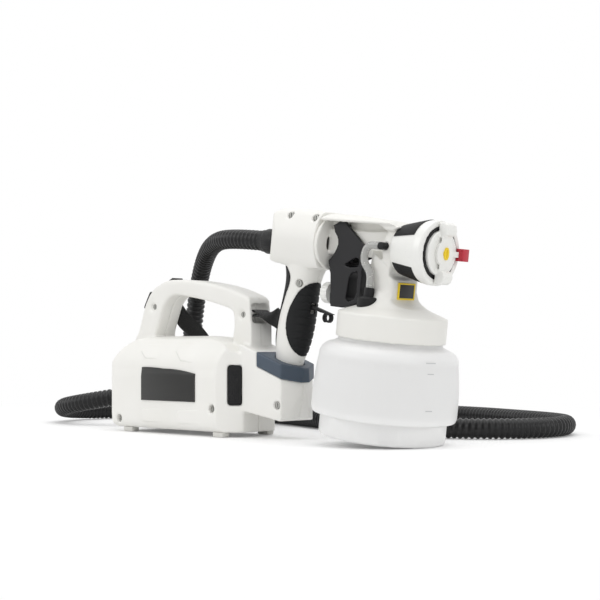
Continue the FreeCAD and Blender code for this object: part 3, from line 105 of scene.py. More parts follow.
# %% Colour and node helpers
def linear(code):
    """A hex colour as linear red, green, blue and alpha."""
    parts = [int(code[i:i + 2], 16) / 255 for i in (0, 2, 4)]
    return tuple(p / 12.92 if p <= 0.04045 else ((p + 0.055) / 1.055) ** 2.4 for p in parts) + (1.0,)


def add_node(tree, kind, inputs=None, **settings):
    """Add one node with its settings, and join or fill its inputs."""
    item = tree.nodes.new("ShaderNode" + kind)
    for name, value in settings.items():
        setattr(item, name, value)
    for socket, value in (inputs or {}).items():
        if isinstance(value, bpy.types.NodeSocket):
            tree.links.new(value, item.inputs[socket])
        else:
            item.inputs[socket].default_value = value
    return item


def new_finish(name, **sockets):
    """A material with one shader; sockets are set on the shader itself."""
    material = bpy.data.materials.new(name)
    material.use_nodes = True
    shader = material.node_tree.nodes["Principled BSDF"]
    for socket, value in sockets.items():
        shader.inputs[socket.replace("_", " ")].default_value = value
    return material, material.node_tree, shader


def add_grain(tree, shader, grain_mm, depth_mm, low, high):
    """Fine surface grain: one noise drives a small bump and the roughness between low and high."""
    place = add_node(tree, "TexCoord")
    noise = add_node(tree, "TexNoise", {"Vector": place.outputs["Object"], "Scale": 1000 / grain_mm,
                                        "Detail": 3.0, "Roughness": 0.55})
    spread = add_node(tree, "MapRange", {"Value": noise.outputs["Fac"], "From Min": 0.3, "From Max": 0.7,
                                         "To Min": low, "To Max": high})
    tree.links.new(spread.outputs["Result"], shader.inputs["Roughness"])
    bump = add_node(tree, "Bump", {"Strength": 1.0, "Distance": depth_mm * MM,
                                   "Height": noise.outputs["Fac"]})
    tree.links.new(bump.outputs["Normal"], shader.inputs["Normal"])
    return place


def add_tint(tree, shader, place, first, second, patch_mm):
    """Slow colour drift between two hex colours, over patches of a real size."""
    drift = add_node(tree, "TexNoise", {"Vector": place.outputs["Object"], "Scale": 1000 / patch_mm,
                                        "Detail": 2.0})
    share = add_node(tree, "MapRange", {"Value": drift.outputs["Fac"], "From Min": 0.35,
                                        "From Max": 0.65})
    mix = add_node(tree, "Mix", {0: share.outputs["Result"], 6: linear(first), 7: linear(second)},
                   data_type="RGBA")
    tree.links.new(mix.outputs[2], shader.inputs["Base Color"])


# %% [markdown]
# The housing is injection-moulded ABS with a fine spark-eroded grain. ABS has an IOR of about 1.54.
# The real grain is 0.1 mm and would not show, so it is drawn ten times as coarse and very shallow.
# The black pieces have a duller skin than the white ones, so less of the light shines back from them.

# %% Moulded ABS and printed film
ABS_GRAIN_MM = 1.0
ABS_PATCH_MM = 60


def moulded_abs(name, first, second, low=0.36, high=0.5, depth=0.02, shine=0.5):
    """Two close colours, the span of the roughness, the grain's depth in mm and the gloss level."""
    material, tree, shader = new_finish(name, IOR=1.54, Specular_IOR_Level=shine)
    place = add_grain(tree, shader, ABS_GRAIN_MM, depth, low, high)
    add_tint(tree, shader, place, first, second, ABS_PATCH_MM)
    return material


WHITE_ABS = moulded_abs("ABS_white_grained", "F1F0EC", "EEEDE8")
LID_ABS = moulded_abs("ABS_lid_white", "EDECE7", "E9E8E3", 0.38, 0.52)
NUT_ABS = moulded_abs("ABS_nut_white_smooth", "F2F2EF", "EFEFEB", 0.26, 0.36, 0.008)
COLLAR_ABS = moulded_abs("ABS_slate_collar", "3B4958", "364352", 0.42, 0.55)
BLACK_ABS = moulded_abs("ABS_black_grained", "19191A", "161617", 0.4, 0.54, 0.03, 0.22)
TRIGGER_ABS = moulded_abs("ABS_black_trigger", "202022", "1C1C1E", 0.36, 0.48, 0.025, 0.25)
ROCKER_ABS = moulded_abs("ABS_black_gloss", "161617", "131314", 0.2, 0.3, 0.01, 0.35)
RED_ABS = moulded_abs("ABS_red", "C2263A", "B92036", 0.3, 0.42, 0.01)
YELLOW_ABS = moulded_abs("ABS_yellow", "F5D51E", "F0CE16", 0.34, 0.46, 0.01)
PLATE_FILM = moulded_abs("printed_film_charcoal", "2F2F2E", "2C2C2B", 0.3, 0.42, 0.008, 0.25)
print("materials in the file, with the drawing's own:", len(bpy.data.materials))

# %% [markdown]
# Soft grip rubber is TPE: it scatters light in a wide, weak gloss. The hose is PVC with rubber in
# it, a little glossier, and it picks up dust, which shows as slightly paler patches.

# %% Rubber and hose
RUBBER_PATCH_MM = 18


def soft_rubber(name, first, second, low, high, grain=1.4, depth=0.06, shine=0.22):
    """Like the ABS, with a coarser and deeper grain that each rubber sets for itself, in mm."""
    material, tree, shader = new_finish(name, IOR=1.5, Specular_IOR_Level=shine)
    place = add_grain(tree, shader, grain, depth, low, high)
    add_tint(tree, shader, place, first, second, RUBBER_PATCH_MM)
    return material


GRIP_RUBBER = soft_rubber("TPE_grip_black", "1A1B1C", "161718", 0.5, 0.66)
PATCH_RUBBER = soft_rubber("TPE_patch_black", "1A1A1B", "171718", 0.5, 0.66, 1.0, 0.04)
FOOT_RUBBER = soft_rubber("rubber_foot_pale", "DEDDD8", "D6D5D0", 0.5, 0.65)
SEAL_RUBBER = soft_rubber("rubber_seal_black", "1F1F20", "1A1A1B", 0.45, 0.6)
HOSE_PVC = soft_rubber("PVC_hose_black", "161617", "111112", 0.28, 0.4, 1.2, 0.03, 0.32)

# %% [markdown]
# The cup is blow-moulded polyethylene, milky and half clear. Light goes in, spreads inside the wall
# and comes out a little further on, which is what subsurface scattering does. Plain transmission
# would show the inside of the cup as glass does, and the real one only glows. The small air tube is
# smoky PVC that one does see through, so there part of the light passes straight on.

# %% Milky cup and clear tubes
def milky_plastic(name, colour, reach_mm, weight, rough):
    """The light spreads over reach_mm; weight says how much of it goes in."""
    material, tree, shader = new_finish(name, Base_Color=linear(colour), IOR=1.51,
                                        Subsurface_Weight=weight, Subsurface_Scale=reach_mm * MM,
                                        Subsurface_Radius=(1.0, 1.0, 1.0))
    add_grain(tree, shader, 2.2, 0.03, rough, rough + 0.12)
    return material


CUP_PE = milky_plastic("polyethylene_cup_milky", "F0F0EF", 6, 0.5, 0.34)


def clear_plastic(name, colour, rough):
    """A tinted see-through plastic with a slightly uneven gloss."""
    material, tree, shader = new_finish(name, Base_Color=linear(colour), IOR=1.46,
                                        Transmission_Weight=0.55)
    add_grain(tree, shader, 2.0, 0.02, rough, rough + 0.1)
    return material


VENT_PVC = clear_plastic("PVC_tube_smoky", "D9D9D6", 0.18)

# %% [markdown]
# Metals keep the default IOR, because their colour alone sets how they reflect. Turned steel has a
# fine even grain, a cast bracket a sandy skin, and a stator core shows the edges of its thin sheets.
# Real sheets are half a millimetre thick. They are drawn about two millimetres apart, so they show.

# %% Metals
def bare_metal(name, colour, low, high, grain=0.8, depth=0.01):
    """One colour with its roughness between low and high, and the grain's size and depth in mm."""
    material, tree, shader = new_finish(name, Base_Color=linear(colour), Metallic=1.0)
    add_grain(tree, shader, grain, depth, low, high)
    return material


STEEL = bare_metal("steel_turned", "B9BABC", 0.22, 0.36)
SCREW_STEEL = bare_metal("steel_zinc_screw", "A2A29E", 0.36, 0.5)
BLACKED_STEEL = bare_metal("steel_blackened_pin", "2B2B2C", 0.3, 0.44)
CAST_ZINC = bare_metal("zinc_cast_sandy", "9C9D9F", 0.45, 0.62, 1.5, 0.08)


# A wave texture repeats after this length at scale 1
WAVE_LENGTH = 2 * math.pi / 20
SHEET_MM = 1.97292


def stacked_sheets(name, colour):
    """Dull steel with a ridge for every few sheets."""
    material, tree, shader = new_finish(name, Base_Color=linear(colour), Metallic=0.9, Roughness=0.5)
    place = add_node(tree, "TexCoord")
    sheets = add_node(tree, "TexWave", {"Vector": place.outputs["Object"],
                                        "Scale": WAVE_LENGTH / (SHEET_MM * MM)}, bands_direction="X")
    bump = add_node(tree, "Bump", {"Distance": 0.1 * MM, "Height": sheets.outputs["Fac"]})
    tree.links.new(bump.outputs["Normal"], shader.inputs["Normal"])
    return material


CORE_STEEL = stacked_sheets("steel_sheet_stack", "5C5D60")
CARBON = soft_rubber("carbon_pressed", "2B2B2C", "222223", 0.4, 0.6)
FAN_NYLON = moulded_abs("nylon_glass_filled", "37383A", "2F3032", 0.5, 0.65, 0.05)
print("materials with the metals:", len(bpy.data.materials))

# %% [markdown]
# Filter foam and the net over it are both full of holes. A Voronoi texture gives cells of a real
# size, and the distance to each cell's edge makes the threads, and the hollows between them, which
# are painted near-black as the shade that fills them.

# %% Foam and net
CELL_MM = 1.3


def open_foam(name, colour):
    """Reticulated foam: cells about 1.3 mm wide between paler threads, painted dark in the middle as shade.
    """
    material, tree, shader = new_finish(name, Roughness=0.9, IOR=1.45)
    place = add_node(tree, "TexCoord")
    cells = add_node(tree, "TexVoronoi", {"Vector": place.outputs["Object"], "Scale": 1000 / CELL_MM},
                     feature="DISTANCE_TO_EDGE")
    share = add_node(tree, "MapRange", {"Value": cells.outputs["Distance"], "From Min": 0.02,
                                        "From Max": 0.3})
    # The near-black colour is painted shade in the hollows of the cells.
    mix = add_node(tree, "Mix", {0: share.outputs["Result"], 6: linear(colour), 7: linear("0E0E0F")},
                   data_type="RGBA")
    tree.links.new(mix.outputs[2], shader.inputs["Base Color"])
    bump = add_node(tree, "Bump", {"Distance": 0.5 * MM, "Height": cells.outputs["Distance"]}, invert=True)
    tree.links.new(bump.outputs["Normal"], shader.inputs["Normal"])
    return material


FOAM = open_foam("polyurethane_filter_foam", "3A3A3C")
FILTER_NET = open_foam("nylon_filter_net", "232324")

# %% [markdown]
# The strap is nylon webbing in a plain weave. Two waves, one along the strap and one across it, are
# multiplied: where both are high a thread lies on top, and there the colour is painted paler as a
# painted highlight. The waves follow the piece's own UV map, which is laid out in millimetres, so the
# weave stays square round every bend.

# %% Webbing
THREAD_MM = 0.69115


def woven_nylon(name, first, second):
    """Webbing: threads 0.7 mm apart, with a painted highlight on the top threads and a weak sheen from
    their fibres.
    """
    material, tree, shader = new_finish(name, Roughness=0.78, Sheen_Weight=0.25, Sheen_Roughness=0.4)
    place = add_node(tree, "TexCoord")
    waves = []
    for direction in ("X", "Y"):
        waves.append(add_node(tree, "TexWave", {"Vector": place.outputs["UV"],
                                                "Scale": WAVE_LENGTH / THREAD_MM, "Distortion": 0.4},
                              bands_direction=direction))
    cross = add_node(tree, "Math", {0: waves[0].outputs["Fac"], 1: waves[1].outputs["Fac"]},
                     operation="MULTIPLY")
    mix = add_node(tree, "Mix", {0: cross.outputs["Value"], 6: linear(first), 7: linear(second)},
                   data_type="RGBA")
    tree.links.new(mix.outputs[2], shader.inputs["Base Color"])
    bump = add_node(tree, "Bump", {"Distance": 0.35 * MM, "Height": cross.outputs["Value"]})
    tree.links.new(bump.outputs["Normal"], shader.inputs["Normal"])
    return material


# The first colour is the webbing's black. The second, paler one is the painted highlight on the top
# threads.
WEBBING = woven_nylon("nylon_webbing_black", "161617", "2B2B2C")
print("materials in all:", len(bpy.data.materials))

# %% [markdown]
# Everything is deselected before a new piece starts, because the tools act on all that is selected.
# A finished piece keeps its place in its mesh, with its object at the origin.

# %% Helpers for working by hand
def deselect():
    """Leave edit mode and select nothing."""
    if bpy.context.object and bpy.context.object.mode != "OBJECT":
        bpy.ops.object.mode_set(mode="OBJECT")
    bpy.ops.object.select_all(action="DESELECT")


def take(piece):
    """Make one piece the only selected and the active one."""
    deselect()
    piece.select_set(True)
    bpy.context.view_layer.objects.active = piece


def edit(piece, what="SELECT"):
    """Enter edit mode on a piece with all of it selected, or nothing."""
    take(piece)
    bpy.ops.object.mode_set(mode="EDIT")
    bpy.ops.mesh.select_all(action=what)


def leave_edit():
    """Back to object mode, where the mesh can be read."""
    bpy.ops.object.mode_set(mode="OBJECT")


def new_piece(name, verts, edges, faces):
    """A new piece from points, and the edges or faces between them."""
    mesh = bpy.data.meshes.new(name)
    mesh.from_pydata(verts, edges, faces)
    piece = bpy.data.objects.new(name, mesh)
    bpy.context.collection.objects.link(piece)
    return piece


def settle(piece, place=None):
    """Put a piece's place into its mesh, and mend its normals."""
    take(piece)
    if place is not None:
        piece.matrix_world = place @ piece.matrix_world
    bpy.context.view_layer.update()
    piece.data.transform(piece.matrix_world)
    piece.matrix_world = Matrix.Identity(4)
    edit(piece)
    bpy.ops.mesh.remove_doubles(threshold=2e-6)
    bpy.ops.mesh.normals_make_consistent(inside=False)
    leave_edit()
    return piece


def use_modifier(piece, kind, **settings):
    """Add a modifier with its settings and apply it."""
    take(piece)
    modifier = piece.modifiers.new(kind.lower(), kind)
    for name, value in settings.items():
        setattr(modifier, name, value)
    bpy.ops.object.modifier_apply(modifier=modifier.name)


def clad(piece, material, angle=35):
    """Give a piece one finish and smooth its shading across soft edges."""
    piece.data.materials.clear()
    piece.data.materials.append(material)
    for face in piece.data.polygons:
        face.material_index = 0
    take(piece)
    bpy.ops.object.shade_smooth_by_angle(angle=math.radians(angle))
    return piece


# %% [markdown]
# Each piece says which moving body it rides on and which solids it stands in for. Both are looked up
# by the name of a solid.

# %% Helpers for the moving bodies
def body_of_node(node):
    """The body that a solid belongs to."""
    return next(body for body, nodes in frame["record"]["behaviour"]["bodies"].items() if node in nodes)


def stand_in(piece, *nodes):
    """The piece rides where its nodes ride, and hides them."""
    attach(piece, body_of_node(nodes[0]))
    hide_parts(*nodes)


def add_on(piece, node):
    """The piece rides with a node that stays in view."""
    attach(piece, body_of_node(node))


# %% [markdown]
# A solid from the drawing has knife edges and flat facets. A moulded part has neither. The edges
# could be bevelled, but a bevel breaks where many of them meet, as they do on a housing. So a copy is
# welded, turned into a fine even skin of small squares, and that skin is relaxed a little: every edge
# then gets the same small radius that a mould has.

# %% Moulded skins
def copy_of(node, name):
    """A free copy of a solid, with its loose triangles welded."""
    piece = frame["nodes"][node].copy()
    piece.data = frame["nodes"][node].data.copy()
    piece.name = piece.data.name = name
    bpy.context.collection.objects.link(piece)
    for key in list(piece.keys()):
        del piece[key]
    piece.parent = None
    piece.matrix_world = Matrix.Identity(4)
    edit(piece)
    bpy.ops.mesh.remove_doubles(threshold=5e-6)
    leave_edit()
    return piece


def relax(piece, rounds, weight=None):
    """Round the edges; weight(point) says how much a point may move, from 0 to 1."""
    group = ""
    if weight:
        holder = piece.vertex_groups.new(name="relax")
        for vertex in piece.data.vertices:
            amount = weight(vertex.co)
            if amount > 0:
                holder.add([vertex.index], min(1.0, amount), "REPLACE")
        group = holder.name
    use_modifier(piece, "SMOOTH", factor=0.5, iterations=rounds, vertex_group=group)
    if weight:
        piece.vertex_groups.clear()


def moulded(node, cell_mm, rounds, material, weight=None):
    """A skin of small squares over a node, relaxed and finished."""
    piece = copy_of(node, node + "_skin")
    use_modifier(piece, "REMESH", mode="VOXEL", voxel_size=cell_mm * MM, use_smooth_shade=True)
    relax(piece, rounds, weight)
    clad(piece, material, 60)
    stand_in(piece, node)
    print(piece.name, len(piece.data.polygons), "faces")


# %% [markdown]
# The base is two half shells that meet at y = 0. The real parting line is a hairline, so the points
# along it stay where they are, and the carry handle, which a hand closes round, is relaxed most.

# %% Base shells
SEAM_MM = 0.8
SEAM_FADE_MM = 3
BOW_LOW_MM = 101
BOW_FADE_MM = 6
HOLSTER_X = -0.022


def shell_weight(point):
    """Nothing moves within 0.8 mm of the parting line, and all of it does 3 mm further out."""
    return min(1.0, max(0.0, (abs(point.y) / MM - SEAM_MM) / SEAM_FADE_MM))


def bow_weight(point):
    """Only the carry bow moves: above the body, and behind the holster."""
    above = (point.z / MM - BOW_LOW_MM) / BOW_FADE_MM
    return shell_weight(point) * min(1.0, max(0.0, above)) * (1 if point.x < HOLSTER_X else 0)


BASE_CELL = 1.3
BOW_ROUNDS = 40
for side in ("left", "right"):
    shell = copy_of(f"base_shell_{side}", f"base_shell_{side}_skin")
    use_modifier(shell, "REMESH", mode="VOXEL", voxel_size=BASE_CELL * MM, use_smooth_shade=True)
    relax(shell, 3, shell_weight)
    relax(shell, BOW_ROUNDS, bow_weight)
    clad(shell, WHITE_ABS, 70)
    stand_in(shell, f"base_shell_{side}")
    print(shell.name, len(shell.data.polygons), "faces")

# %% [markdown]
# The gun's handle and spray head are moulded the same way, in smaller squares, because their edges
# are finer. The smaller the piece, the smaller its squares and the fewer its rounds of relaxing.

# %% Gun, head and collar
FINE = 0.95
for side in ("left", "right"):
    moulded(f"handle_shell_{side}", FINE, 3, WHITE_ABS, shell_weight)
# Each row gives a solid, the width of its squares in mm, the rounds of relaxing and its finish
for node, cell, rounds, material in (
        ("spray_head", FINE, 3, LID_ABS), ("union_nut", 0.75, 3, NUT_ABS), ("air_cap", 0.6, 3, NUT_ABS),
        ("cap_ring", 0.7, 2, BLACK_ABS), ("trigger", 0.8, 3, TRIGGER_ABS),
        ("grip_pad", 0.6, 2, GRIP_RUBBER), ("back_strip", 0.5, 2, GRIP_RUBBER)):
    moulded(node, cell, rounds, material)
moulded("holster_collar", 0.9, 2, COLLAR_ABS, shell_weight)

# %% [markdown]
# Small pieces, and the cup with its thin wall, would lose their form in a skin of squares. Their
# copy keeps the faces of the drawing: flat faces are joined first, and then each sharp edge gets a
# narrow bevel, as wide as the radius on the real piece. A plain round edge catches the light.

# %% Cup and small pieces with bevelled edges
def ease_edges(piece, width_mm):
    """Bevel the edges that turn by more than 30 degrees."""
    use_modifier(piece, "BEVEL", width=width_mm * MM, segments=2, limit_method="ANGLE",
                 angle_limit=math.radians(30), use_clamp_overlap=True)


def eased(node, width_mm, material):
    """A welded copy of a node with its sharp edges bevelled."""
    piece = copy_of(node, node + "_eased")
    edit(piece)
    bpy.ops.mesh.dissolve_limited(angle_limit=math.radians(0.5))
    leave_edit()
    ease_edges(piece, width_mm)
    clad(piece, material, 40)
    stand_in(piece, node)


BEVELLED = (
    ("cup", 0.8, CUP_PE), ("rocker_key", 0.5, ROCKER_ABS), ("switch_bezel", 0.4, BLACK_ABS),
    ("name_plate", 0.4, PLATE_FILM), ("plate_frame", 0.3, YELLOW_ABS), ("info_plate", 0.2, PLATE_FILM),
    ("hose_cuff", 0.6, BLACK_ABS), ("hose_port", 0.5, BLACK_ABS), ("cord_gland", 0.4, BLACK_ABS),
    ("volume_knob", 0.4, NUT_ABS), ("valve_cap", 0.5, BLACK_ABS), ("vent_elbow", 0.3, BLACK_ABS),
    ("hook", 0.3, BLACK_ABS), ("jet_lever", 0.4, RED_ABS), ("base_feet", 0.5, FOOT_RUBBER),
    ("base_screws", 0.25, SCREW_STEEL), ("handle_screws", 0.2, SCREW_STEEL))
for node, width, material in BEVELLED:
    eased(node, width, material)
print("bevelled pieces:", len(BEVELLED))

# %% [markdown]
# The jet lever is a ring behind the air cap with a tab that sticks out. Only the tab is red. It could
# be cut off as a piece of its own, but one piece with two finishes leaves no gap between them. So the
# faces close to the nozzle's axis get a second finish, the white of the nut.

# %% Jet lever in two colours
NOZZLE_Z = 170
LEVER_RING = 0.0185
BACK_TO_GUN = GUN_PLACE.inverted()
lever = bpy.data.objects["jet_lever_eased"]
lever.data.materials.append(NUT_ABS)
for face in lever.data.polygons:
    spot = BACK_TO_GUN @ face.center
    face.material_index = 1 if math.hypot(spot.y, spot.z - NOZZLE_Z * MM) < LEVER_RING else 0
print("white faces of the lever:", sum(face.material_index for face in lever.data.polygons))

# %% [markdown]
# The yellow insert in the middle of the cap is a short round pin in the drawing. The real one is an
# upright oval that stands just proud of the cap's face. A copy of the pin already sits in its hole,
# so nothing new is modelled: it is moved to the gun's own upright place, stretched along z about the
# nozzle's axis, and moved back.

# %% Oval insert of the cap
INSERT_STRETCH = 1.7
INSERT_FORWARD = 0.9 * MM
insert = copy_of("cap_insert", "cap_insert_oval")
stretch = (Matrix.Translation((INSERT_FORWARD, 0, NOZZLE_Z * MM))
           @ Matrix.Diagonal((1, 1, INSERT_STRETCH, 1)) @ Matrix.Translation((0, 0, -NOZZLE_Z * MM)))
insert.data.transform(GUN_PLACE @ stretch @ BACK_TO_GUN)
ease_edges(insert, 0.15)
clad(insert, YELLOW_ABS, 40)
stand_in(insert, "cap_insert")
print(insert.name, len(insert.data.polygons), "faces")

# %% [markdown]
# The pull-out filter cover is a fine black net with rounded corners. Real threads would need many
# thousands of faces on a piece of four centimetres, so the finish draws them and the shape is plain.
# It starts as a cube. The four edges that run through it are picked by their direction and bevelled
# wide, the rest gets a narrow bevel, and the piece is set square on the slanting corner of the base.

# %% Filter cover
SLANT = Vector((21, 18, 0))
ALONG = SLANT.normalized()
OUTWARD = Vector((ALONG.y, -ALONG.x, 0))
NET_SIZE = (13.3 * MM, 1.8 * MM, 37.9 * MM)
NET_CORNER = 2.4 * MM
NET_MIDDLE = Vector((80.5, -31, 51)) + ALONG * 5.5 + OUTWARD * -0.3
bpy.ops.mesh.primitive_cube_add(size=1)
net = bpy.context.object
net.name = "filter_cover_net"
net.data.transform(Matrix.Diagonal((*NET_SIZE, 1)))
edit(net, "DESELECT")
bpy.ops.mesh.select_mode(type="EDGE")
leave_edit()
for edge in net.data.edges:
    a, b = (net.data.vertices[i].co for i in edge.vertices)
    edge.select = abs(a.y - b.y) > MM
bpy.ops.object.mode_set(mode="EDIT")
bpy.ops.mesh.bevel(offset=NET_CORNER, segments=6)
leave_edit()
use_modifier(net, "BEVEL", width=0.4 * MM, segments=2, limit_method="ANGLE",
             angle_limit=math.radians(50))
slant_turn = Matrix.Rotation(math.atan2(SLANT.y, SLANT.x), 4, "Z")
settle(net, Matrix.Translation(on_base(*NET_MIDDLE)) @ slant_turn)
clad(net, FILTER_NET)
stand_in(net, "filter_cover")
print(net.name, len(net.data.polygons), "faces")

# %% [markdown]
# Four low panels break up the base's side. The shell's own skin has no edges along their outlines
# that could be pulled out. So each is a sheet of small squares dropped onto the shell: a ray is sent
# at the shell for every corner of every square. Inside an outline the sheet stands out
# from the shell, it sinks away towards its right end, and outside the outline it lies just under the
# shell's skin, so no edge of it shows.

# %% Relief on the base's side
# All of these are in millimetres
PANEL_RISE = 1.5
PANEL_SLOPE = 1.6
PANEL_SQUARE = 0.7
PANEL_MARGIN = 2
PANEL_LOWEST = 9.5
PANEL_SUNK = 0.25
right_shell = bpy.data.objects["base_shell_right_skin"]


def eased_step(t):
    """From 0 to 1 along a soft S, and level beyond both ends."""
    t = min(1.0, max(0.0, t))
    return t * t * (3 - 2 * t)


def inside_of(outline, x, z):
    """How far a point lies within the nearest edge of an outline, below 0 outside it, in mm."""
    return min(((bx - ax) * (z - az) - (bz - az) * (x - ax)) / math.hypot(bx - ax, bz - az)
               for (ax, az), (bx, bz) in zip(outline, outline[1:]))


def relief(name, outline, fade):
    """One panel in base millimetres; fade gives where along x it starts to sink and is gone."""
    left = min(x for x, z in outline) - PANEL_MARGIN
    low = max(PANEL_LOWEST, min(z for x, z in outline) - PANEL_MARGIN)
    high = max(z for x, z in outline) + PANEL_MARGIN
    wide, tall = round((fade[1] - left) / PANEL_SQUARE), round((high - low) / PANEL_SQUARE)
    verts = []
    for j in range(tall + 1):
        for i in range(wide + 1):
            x, z = left + i * PANEL_SQUARE, low + j * PANEL_SQUARE
            lift = PANEL_RISE * eased_step(inside_of(outline, x, z) / PANEL_SLOPE + 0.4)
            lift *= 1 - eased_step((x - fade[0]) / (fade[1] - fade[0]))
            _, place, normal, _ = right_shell.ray_cast(on_base(x, -70, z), Vector((0, 1, 0)))
            verts.append(place + normal * (lift - PANEL_SUNK) * MM)
    row = wide + 1
    faces = [(j * row + i, j * row + i + 1, (j + 1) * row + i + 1, (j + 1) * row + i)
             for j in range(tall) for i in range(wide)]
    piece = new_piece(name, verts, [], faces)
    use_modifier(piece, "SOLIDIFY", thickness=0.3 * MM, offset=-1)
    clad(piece, WHITE_ABS, 80)
    add_on(piece, "base_shell_right")
    print(name, len(piece.data.polygons), "faces")


for name, outline, fade in (
        ("upper_rear", [(-14, 92), (-44, 91), (-48.5, 84), (-39, 77), (-10, 75.4)], (-40, -12)),
        ("upper_front", [(40, 94), (12, 91.5), (6, 84), (17, 74.5), (46, 71)], (14, 44)),
        ("lower_rear", [(-10, 26), (-38, 25.4), (-44, 20), (-39.5, 12), (0, 11.6)], (-34, 0)),
        ("lower_front", [(46, 26.4), (18, 25.8), (12, 20), (16.5, 12), (56, 11.6)], (22, 56))):
    relief(f"relief_{name}", outline, fade)

# %% [markdown]
# Short grooves give the fingers a hold along the front edge of the grip pad. Cutting them with a
# boolean would leave sharp edges. They are pressed into the pad's own skin instead, seven millimetres
# apart: a cosine along the grip says how deep a point goes, its sixth power keeps the groove narrow,
# and the depth fades out behind the front edge.

# %% Grooves in the grip pad
GROOVE_PITCH = 7 * MM
GROOVE_REACH = 9 * MM
GROOVE_BACK, GROOVE_IN = -0.5, 0.9
pad = bpy.data.objects["grip_pad_skin"]
spots = [BACK_TO_GUN @ vertex.co for vertex in pad.data.vertices]
front_edge = {}
for spot in spots:
    level = round(spot.z / MM)
    front_edge[level] = max(front_edge.get(level, -1.0), spot.x)
for vertex, spot in zip(pad.data.vertices, spots):
    groove = max(0.0, math.cos(2 * math.pi * spot.z / GROOVE_PITCH)) ** 6
    groove *= eased_step(1.3 - (front_edge[round(spot.z / MM)] - spot.x) / GROOVE_REACH)
    inward = -1.0 if spot.y > 0 else 1.0
    vertex.co = GUN_PLACE @ (spot + Vector((GROOVE_BACK, GROOVE_IN * inward, 0)) * groove * MM)
print("grooves on a pad", len(front_edge), "mm long")

# %% [markdown]
# The fan set inside the base and the turned pieces in the gun keep their own faces. Little or nothing
# of them is in view, and turned metal has crisp edges in any case, so they get a finish alone.

# %% Finishes of the solids that stay as they are
KEPT = {"filter_foam": FOAM, "motor_stator": CORE_STEEL, "motor_bracket_rear": CAST_ZINC,
        "motor_bracket_front": CAST_ZINC, "shaft_bearings": STEEL, "rotor_shaft": STEEL,
        "rotor_armature": CORE_STEEL, "motor_brushes": CARBON, "motor_cradle": SEAL_RUBBER,
        "fan_wheel": FAN_NYLON, "fan_drum": FAN_NYLON, "cup_seal": SEAL_RUBBER, "vent_tube": VENT_PVC,
        "suction_tube": VENT_PVC, "trigger_pin": BLACKED_STEEL, "needle": STEEL, "needle_spring": STEEL,
        "fluid_nozzle": STEEL}
for node, material in KEPT.items():
    for place in frame["nodes"][node].material_slots:
        place.material = material
print("solids with a finish alone:", len(KEPT))

# %% [markdown]
# The hose is drawn first as a line. It leaves the gun's cuff, falls behind the base, lies on the floor
# in two loops and climbs to the port on the base's far side. These are the points that pull the line.

# %% Route of the air hose
HOSE_START = on_gun(-171, 0, 166.5)
HOSE_AWAY = (GUN_PLACE.to_3x3() @ Vector((-1, 0, 0))).normalized()
HOSE_PORT = on_base(-20, 44.3, 46)
HOSE_ROUTE = [
    (-113, 22, 198), (-159, 50, 181), (-190, 68, 144), (-203, 74, 98), (-219, 60, 60), (-253, 32, 36),
    (-302, 3, 27), (-353, 5, 20), (-393, 38, 13.6), (-404, 88, 10.4), (-382, 137, 10.2),
    (-336, 170, 10.2), (-278, 186, 10.2), (-214, 184, 10.2), (-152, 168, 10.2), (-95, 148, 10.2),
    (-38, 126, 10.2), (20, 111, 10.2), (76, 101, 10.2), (130, 104, 10.2), (174, 133, 10.2),
    (196, 182, 10.2), (186, 234, 10.2), (146, 271, 10.2), (82, 298, 10.2), (14, 324, 10.2),
    (-46, 334, 10.2), (-100, 314, 10.2), (-134, 270, 14), (-142, 216, 28), (-137, 168, 42),
    (-133.3, 124, 46)]
route = [HOSE_START, HOSE_START + HOSE_AWAY * 0.046]
route += [Vector(point) * MM for point in HOSE_ROUTE]
route += [HOSE_PORT + Vector((0.0006, 0.038, 0)), HOSE_PORT]
print("points of the route:", len(route))

# %% [markdown]
# A curve with a round bevel gives a smooth tube, and this one needs ribs. So a NURBS curve only
# smooths the points into a line, and the line is walked in equal steps. A ring of points is then set
# square to the line at each step. Each ring is turned from the last by no more than the bend asks
# for, so the tube never twists, and the steps keep the ribs even round a bend.

# %% Lines and tubes
def smooth_line(name, points):
    """The points that a NURBS curve with these control points runs through."""
    curve = bpy.data.curves.new(name, "CURVE")
    curve.dimensions = "3D"
    curve.resolution_u = 24
    spline = curve.splines.new("NURBS")
    spline.points.add(len(points) - 1)
    for target, point in zip(spline.points, points):
        target.co = (*point, 1)
    spline.order_u = 3
    spline.use_endpoint_u = True
    holder = bpy.data.objects.new(name, curve)
    bpy.context.collection.objects.link(holder)
    line = bpy.data.meshes.new_from_object(holder)
    found = [vertex.co.copy() for vertex in line.vertices]
    bpy.data.objects.remove(holder)
    bpy.data.curves.remove(curve)
    bpy.data.meshes.remove(line)
    return found


def even_steps(points, step):
    """The same line walked in equal steps."""
    total = sum((b - a).length for a, b in zip(points, points[1:]))
    count = round(total / step)
    step = total / count
    walked, index, done = [points[0].copy()], 0, 0.0
    for k in range(1, count):
        goal = k * step
        while done + (points[index + 1] - points[index]).length < goal:
            done += (points[index + 1] - points[index]).length
            index += 1
        way = points[index + 1] - points[index]
        walked.append(points[index] + way * ((goal - done) / way.length))
    return walked + [points[-1].copy()], total


